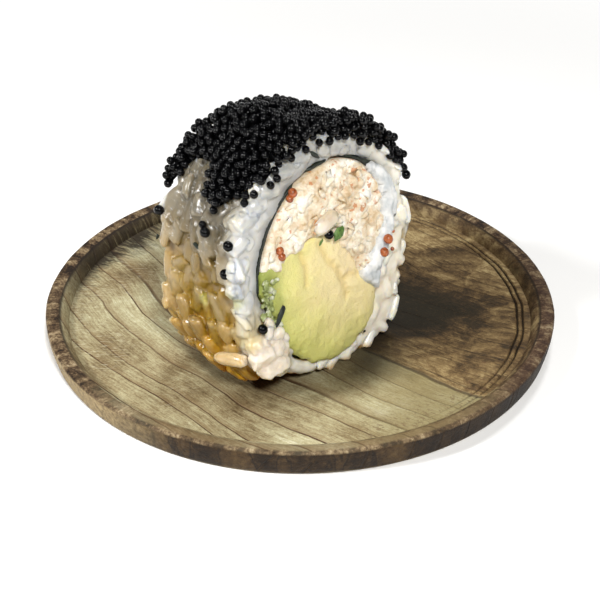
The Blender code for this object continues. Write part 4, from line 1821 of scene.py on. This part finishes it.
def bead_place(angle, depth, radius):
    centre = section_centre(depth)
    return centre + Vector((math.cos(angle), 0, math.sin(angle))) * radius


def drop_heap(seed):
    chance = random.Random(seed)
    beads = np.empty((0, 3))
    misses = 0
    while misses < MOST_MISSES and len(beads) < MOST_BEADS:
        best = None
        for _ in range(TRIES):
            angle = math.radians(chance.uniform(28, 150))
            depth = chance.uniform(front_limit(angle), SLICE_LENGTH + 0.5)
            top = heap_top(angle, depth)
            if top is None:
                continue
            lowest = rice_top(angle, depth) + BEAD_RADIUS * 0.8
            radius = resting_radius(beads, angle, depth, lowest)
            height = radius - lowest
            if radius < top - BEAD_RADIUS * 0.35 and (best is None or height < best[0]):
                best = (height, angle, depth, radius)
        if best is None:
            misses += 1
            continue
        beads = np.vstack([beads, bead_place(*best[1:])])
    return beads


heap = drop_heap(41)
print("beads in the heap:", len(heap))

# %% [markdown]
# A few beads have rolled off: a tail hangs down at the far left, a row of them at the near left, and single
# beads stick to the rice and to the cut.

# %% Single beads
TAIL = ((128, 21.0), (131, 19.6), (131, 21.8), (135, 21.0), (135, 19.5), (138, 22.0), (142, 21.5))
FINGERS = ((133, 2.0), (136, 1.4), (134, 3.6), (131, 0.4), (138, 6.2), (141, 7.6), (139, 9.0), (144, 7.0))
SINGLES = (
    (155, 22.0, 1.0),
    (154, 7.5, 0.95),
    (151.5, 8.7, 0.7),
    (155, 1.2, 0.95),
    (168, 2.0, 0.95),
    (32, 0.7, 0.95),
    (28, -0.1, 0.9),
    (36, 0.3, 0.8),
)
ON_THE_CUT = ((-18.0, -1.5, 15.8, 0.92), (-0.8, -1.5, 27.5, 0.9), (20.6, -0.3, 31.2, 0.9))


def stuck_bead(degrees, depth, size=BEAD_RADIUS):
    """The place of a bead that sticks to the rice."""
    angle = math.radians(degrees)
    return bead_place(angle, depth, rice_top(angle, depth) + size)


singles = [stuck_bead(*place) for place in TAIL + FINGERS + SINGLES]
singles += [Vector(place[:3]) for place in ON_THE_CUT]
single_sizes = [BEAD_RADIUS] * len(TAIL + FINGERS) + [place[-1] for place in SINGLES + ON_THE_CUT]
print("single beads:", len(singles))

# %% [markdown]
# A bead is an ico sphere, turned at random and pressed a little on one side. Roe is nearly black and wet:
# its roughness is low, and its IOR is low as well, so that it mirrors less of the sky.

# %% Roe beads
def unit_bead():
    bpy.ops.object.select_all(action="DESELECT")
    bpy.ops.mesh.primitive_ico_sphere_add(subdivisions=2, radius=1.0)
    return take_shape(bpy.context.object)


def bead_matrices(beads, sizes, seed):
    chance = random.Random(seed)
    matrices = []
    for place, size in zip(beads, sizes):
        turn = Matrix.Rotation(chance.uniform(0, math.tau), 4, Vector((chance.random(), 1, chance.random())))
        squash = Matrix.Diagonal((size, size * chance.uniform(0.93, 1.0), size, 1))
        matrices.append(Matrix.Translation(Vector(place)) @ turn @ squash)
    return matrices


def roe_finish():
    roe = Finish("black_roe", {"IOR": 1.28})
    point = roe.place()
    clouds = roe.noise(point, 1.3, 2)
    shade = roe.ramp(clouds, (0.3, colour(1, 1, 2)), (0.7, colour(6, 6, 7)))
    roe.surface(Base_Color=shade, Roughness=0.08 + clouds * 0.06)
    return roe


bead_chance = np.random.default_rng(42)
sizes = [*(BEAD_RADIUS * bead_chance.uniform(0.93, 1.07, len(heap))), *single_sizes]
BEAD = unit_bead()
roe = roe_finish()
points, faces, _ = copies([BEAD], bead_matrices([*heap, *singles], sizes, 43), 44)
bead_heap = make_object("roe_beads", points, faces)
smooth(bead_heap)
finish_piece(bead_heap, "roe_beads", roe, "roe", "black_roe")

# %% [markdown]
# Between the beads it is dark. A drawn-in copy of the heap's solid stands behind them, so that no light
# rice shows through the gaps.

# %% Dark body of the heap
def make_roe_body():
    body = copy_of_solid("black_roe", 0.0)
    melt(body, 0.4, 2)
    points = to_slice(read_points(body))
    for index, (x, depth, height) in enumerate(points):
        centre = section_centre(depth)
        angle = math.atan2(height - centre.z, x)
        radius = math.hypot(x, height - centre.z)
        limit = rice_top(angle, min(max(depth, 1.0), SLICE_LENGTH - 1.0)) + 0.5
        share = min(1.0, limit / radius)
        points[index] = (x * share, 11 + (depth - 11) * 0.93, centre.z + (height - centre.z) * share)
    write_points(body, to_world(points))
    return body


finish_piece(make_roe_body(), "roe_body", roe, "roe")

# %% [markdown]
# ## Small bits
#
# A few orange beads of another roe lie in the cut. They are copies of the black bead, in a finish of their
# own.

# %% Orange beads
ORANGE_BEADS = (
    (-7.3, -0.3, 37.3, 0.85),
    (-8.0, -0.2, 36.4, 0.7),
    (-11.8, -0.7, 28.2, 0.8),
    (-11.6, -0.8, 27.0, 0.8),
    (13.1, -2.2, 21.7, 0.95),
    (12.0, -2.1, 19.4, 0.9),
    (14.3, -1.9, 19.1, 0.4),
    (15.0, -1.7, 22.4, 0.35),
)


def orange_finish():
    orange = Finish("orange_roe", {"Coat Weight": 0.5, "Coat Roughness": 0.1, "Subsurface Weight": 0.1})
    orange.shader.inputs["Subsurface Scale"].default_value = 0.5 * MM
    clouds = orange.noise(orange.place(), 0.8, 2)
    shade = orange.ramp(clouds, (0.3, colour(112, 48, 20)), (0.65, colour(182, 98, 44)))
    orange.surface(Base_Color=shade, Roughness=0.2 + clouds * 0.15)
    return orange


orange_places = [Matrix.Translation(Vector(item[:3])) @ Matrix.Scale(item[3], 4) for item in ORANGE_BEADS]
points, faces, _ = copies([BEAD], orange_places, 51)
orange_beads = make_object("orange_beads", points, faces)
smooth(orange_beads)
finish_piece(orange_beads, "orange_beads", orange_finish(), "roe")

# %% [markdown]
# Crumbs of seaweed lie on the cut and on the side. Each is a flake of the crab's shapes, laid flat between
# two points, in the sheet's own finish.

# %% Seaweed crumbs
WEED_CRUMBS = (
    ((-14.6, -1.2, 14.7), (-12.2, -1.0, 18.0), 1.0),
    ((-13.0, -0.4, 17.9), (-11.4, -0.5, 18.6), 0.8),
    ((-8.4, -0.3, 40.4), (-7.5, -0.2, 41.9), 0.9),
    ((-2.6, -0.3, 43.2), (-0.6, -0.2, 41.6), 0.8),
    ((-12.0, -0.2, 38.6), (-11.8, -0.2, 38.9), 0.4),
    ((7.0, -0.4, 4.0), (7.3, -0.4, 4.2), 0.4),
    ((-21.0, 11.4, 28.3), (-21.2, 9.9, 27.9), 0.8),
    ((-21.4, 22.0, 25.0), (-21.4, 21.5, 26.0), 0.5),
    ((-9.3, -0.6, 33.0), (-8.4, -0.6, 33.1), 0.35),
    ((-0.6, -0.6, 35.9), (-0.1, -0.6, 35.3), 0.3),
)


def scraps(places, seed):
    matrices = []
    for start, end, width in places:
        along = Vector(end) - Vector(start)
        centre = (Vector(start) + Vector(end)) / 2
        facing = Vector((-0.3, -1, 0.3))
        matrices.append(frame_matrix(centre, along, facing, along.length + 0.3, width, 0.35))
    return copies(FLAKES, matrices, seed)


points, faces, _ = scraps(WEED_CRUMBS, 52)
crumbs = make_object("seaweed_crumbs", points, faces)
smooth(crumbs, 50)
finish_piece(crumbs, "seaweed_crumbs", seaweed, "seaweed")

# %% [markdown]
# At its left the avocado has crumbled against the seaweed. Fifty small flakes fill that strip.

# %% Crumbled avocado
def mush_places(count, seed):
    """Where the avocado crumbled against the seaweed at its left."""
    chance = random.Random(seed)
    places = []
    for _ in range(count):
        height = chance.uniform(14.5, 23.5)
        start = Vector((-16.6 + 0.06 * (height - 19) ** 2 + chance.uniform(0, 2.2), -0.5, height))
        end = start + Vector((chance.uniform(-1, 1), chance.uniform(-0.5, 0.2), chance.uniform(-1.2, 1.2)))
        places.append((start, end, chance.uniform(0.6, 1.1)))
    return places


def mush_finish():
    mush = Finish("crumbled_avocado", {"Roughness": 0.4})
    clouds = mush.noise(mush.place(), 1.4, 3)
    stops = ((0.38, colour(120, 130, 74)), (0.5, colour(152, 161, 104)), (0.62, colour(194, 196, 176)))
    mush.surface(Base_Color=mush.ramp(clouds, *stops))
    return mush


points, faces, _ = scraps(mush_places(50, 54), 55)
mush = make_object("avocado_crumbs", points, faces)
smooth(mush)
finish_piece(mush, "avocado_crumbs", mush_finish(), "avocado")

# %% [markdown]
# Two scraps of green herb lie near the middle of the cut.

# %% Herb scraps
HERBS = (
    ((0.4, -1.9, 26.3), (2.0, -1.9, 28.0), 1.7),
    ((-2.6, -0.9, 25.9), (-1.9, -0.9, 26.7), 0.4),
)


def herb_finish():
    herb = Finish("herb", {"Roughness": 0.45})
    veins = herb.noise(herb.place(), 0.5, 3)
    herb.surface(Base_Color=herb.ramp(veins, (0.3, colour(44, 70, 26)), (0.7, colour(96, 130, 52))))
    return herb


points, faces, _ = scraps(HERBS, 53)
herbs = make_object("herb_scraps", points, faces)
smooth(herbs, 50)
finish_piece(herbs, "herb_scraps", herb_finish(), "avocado")
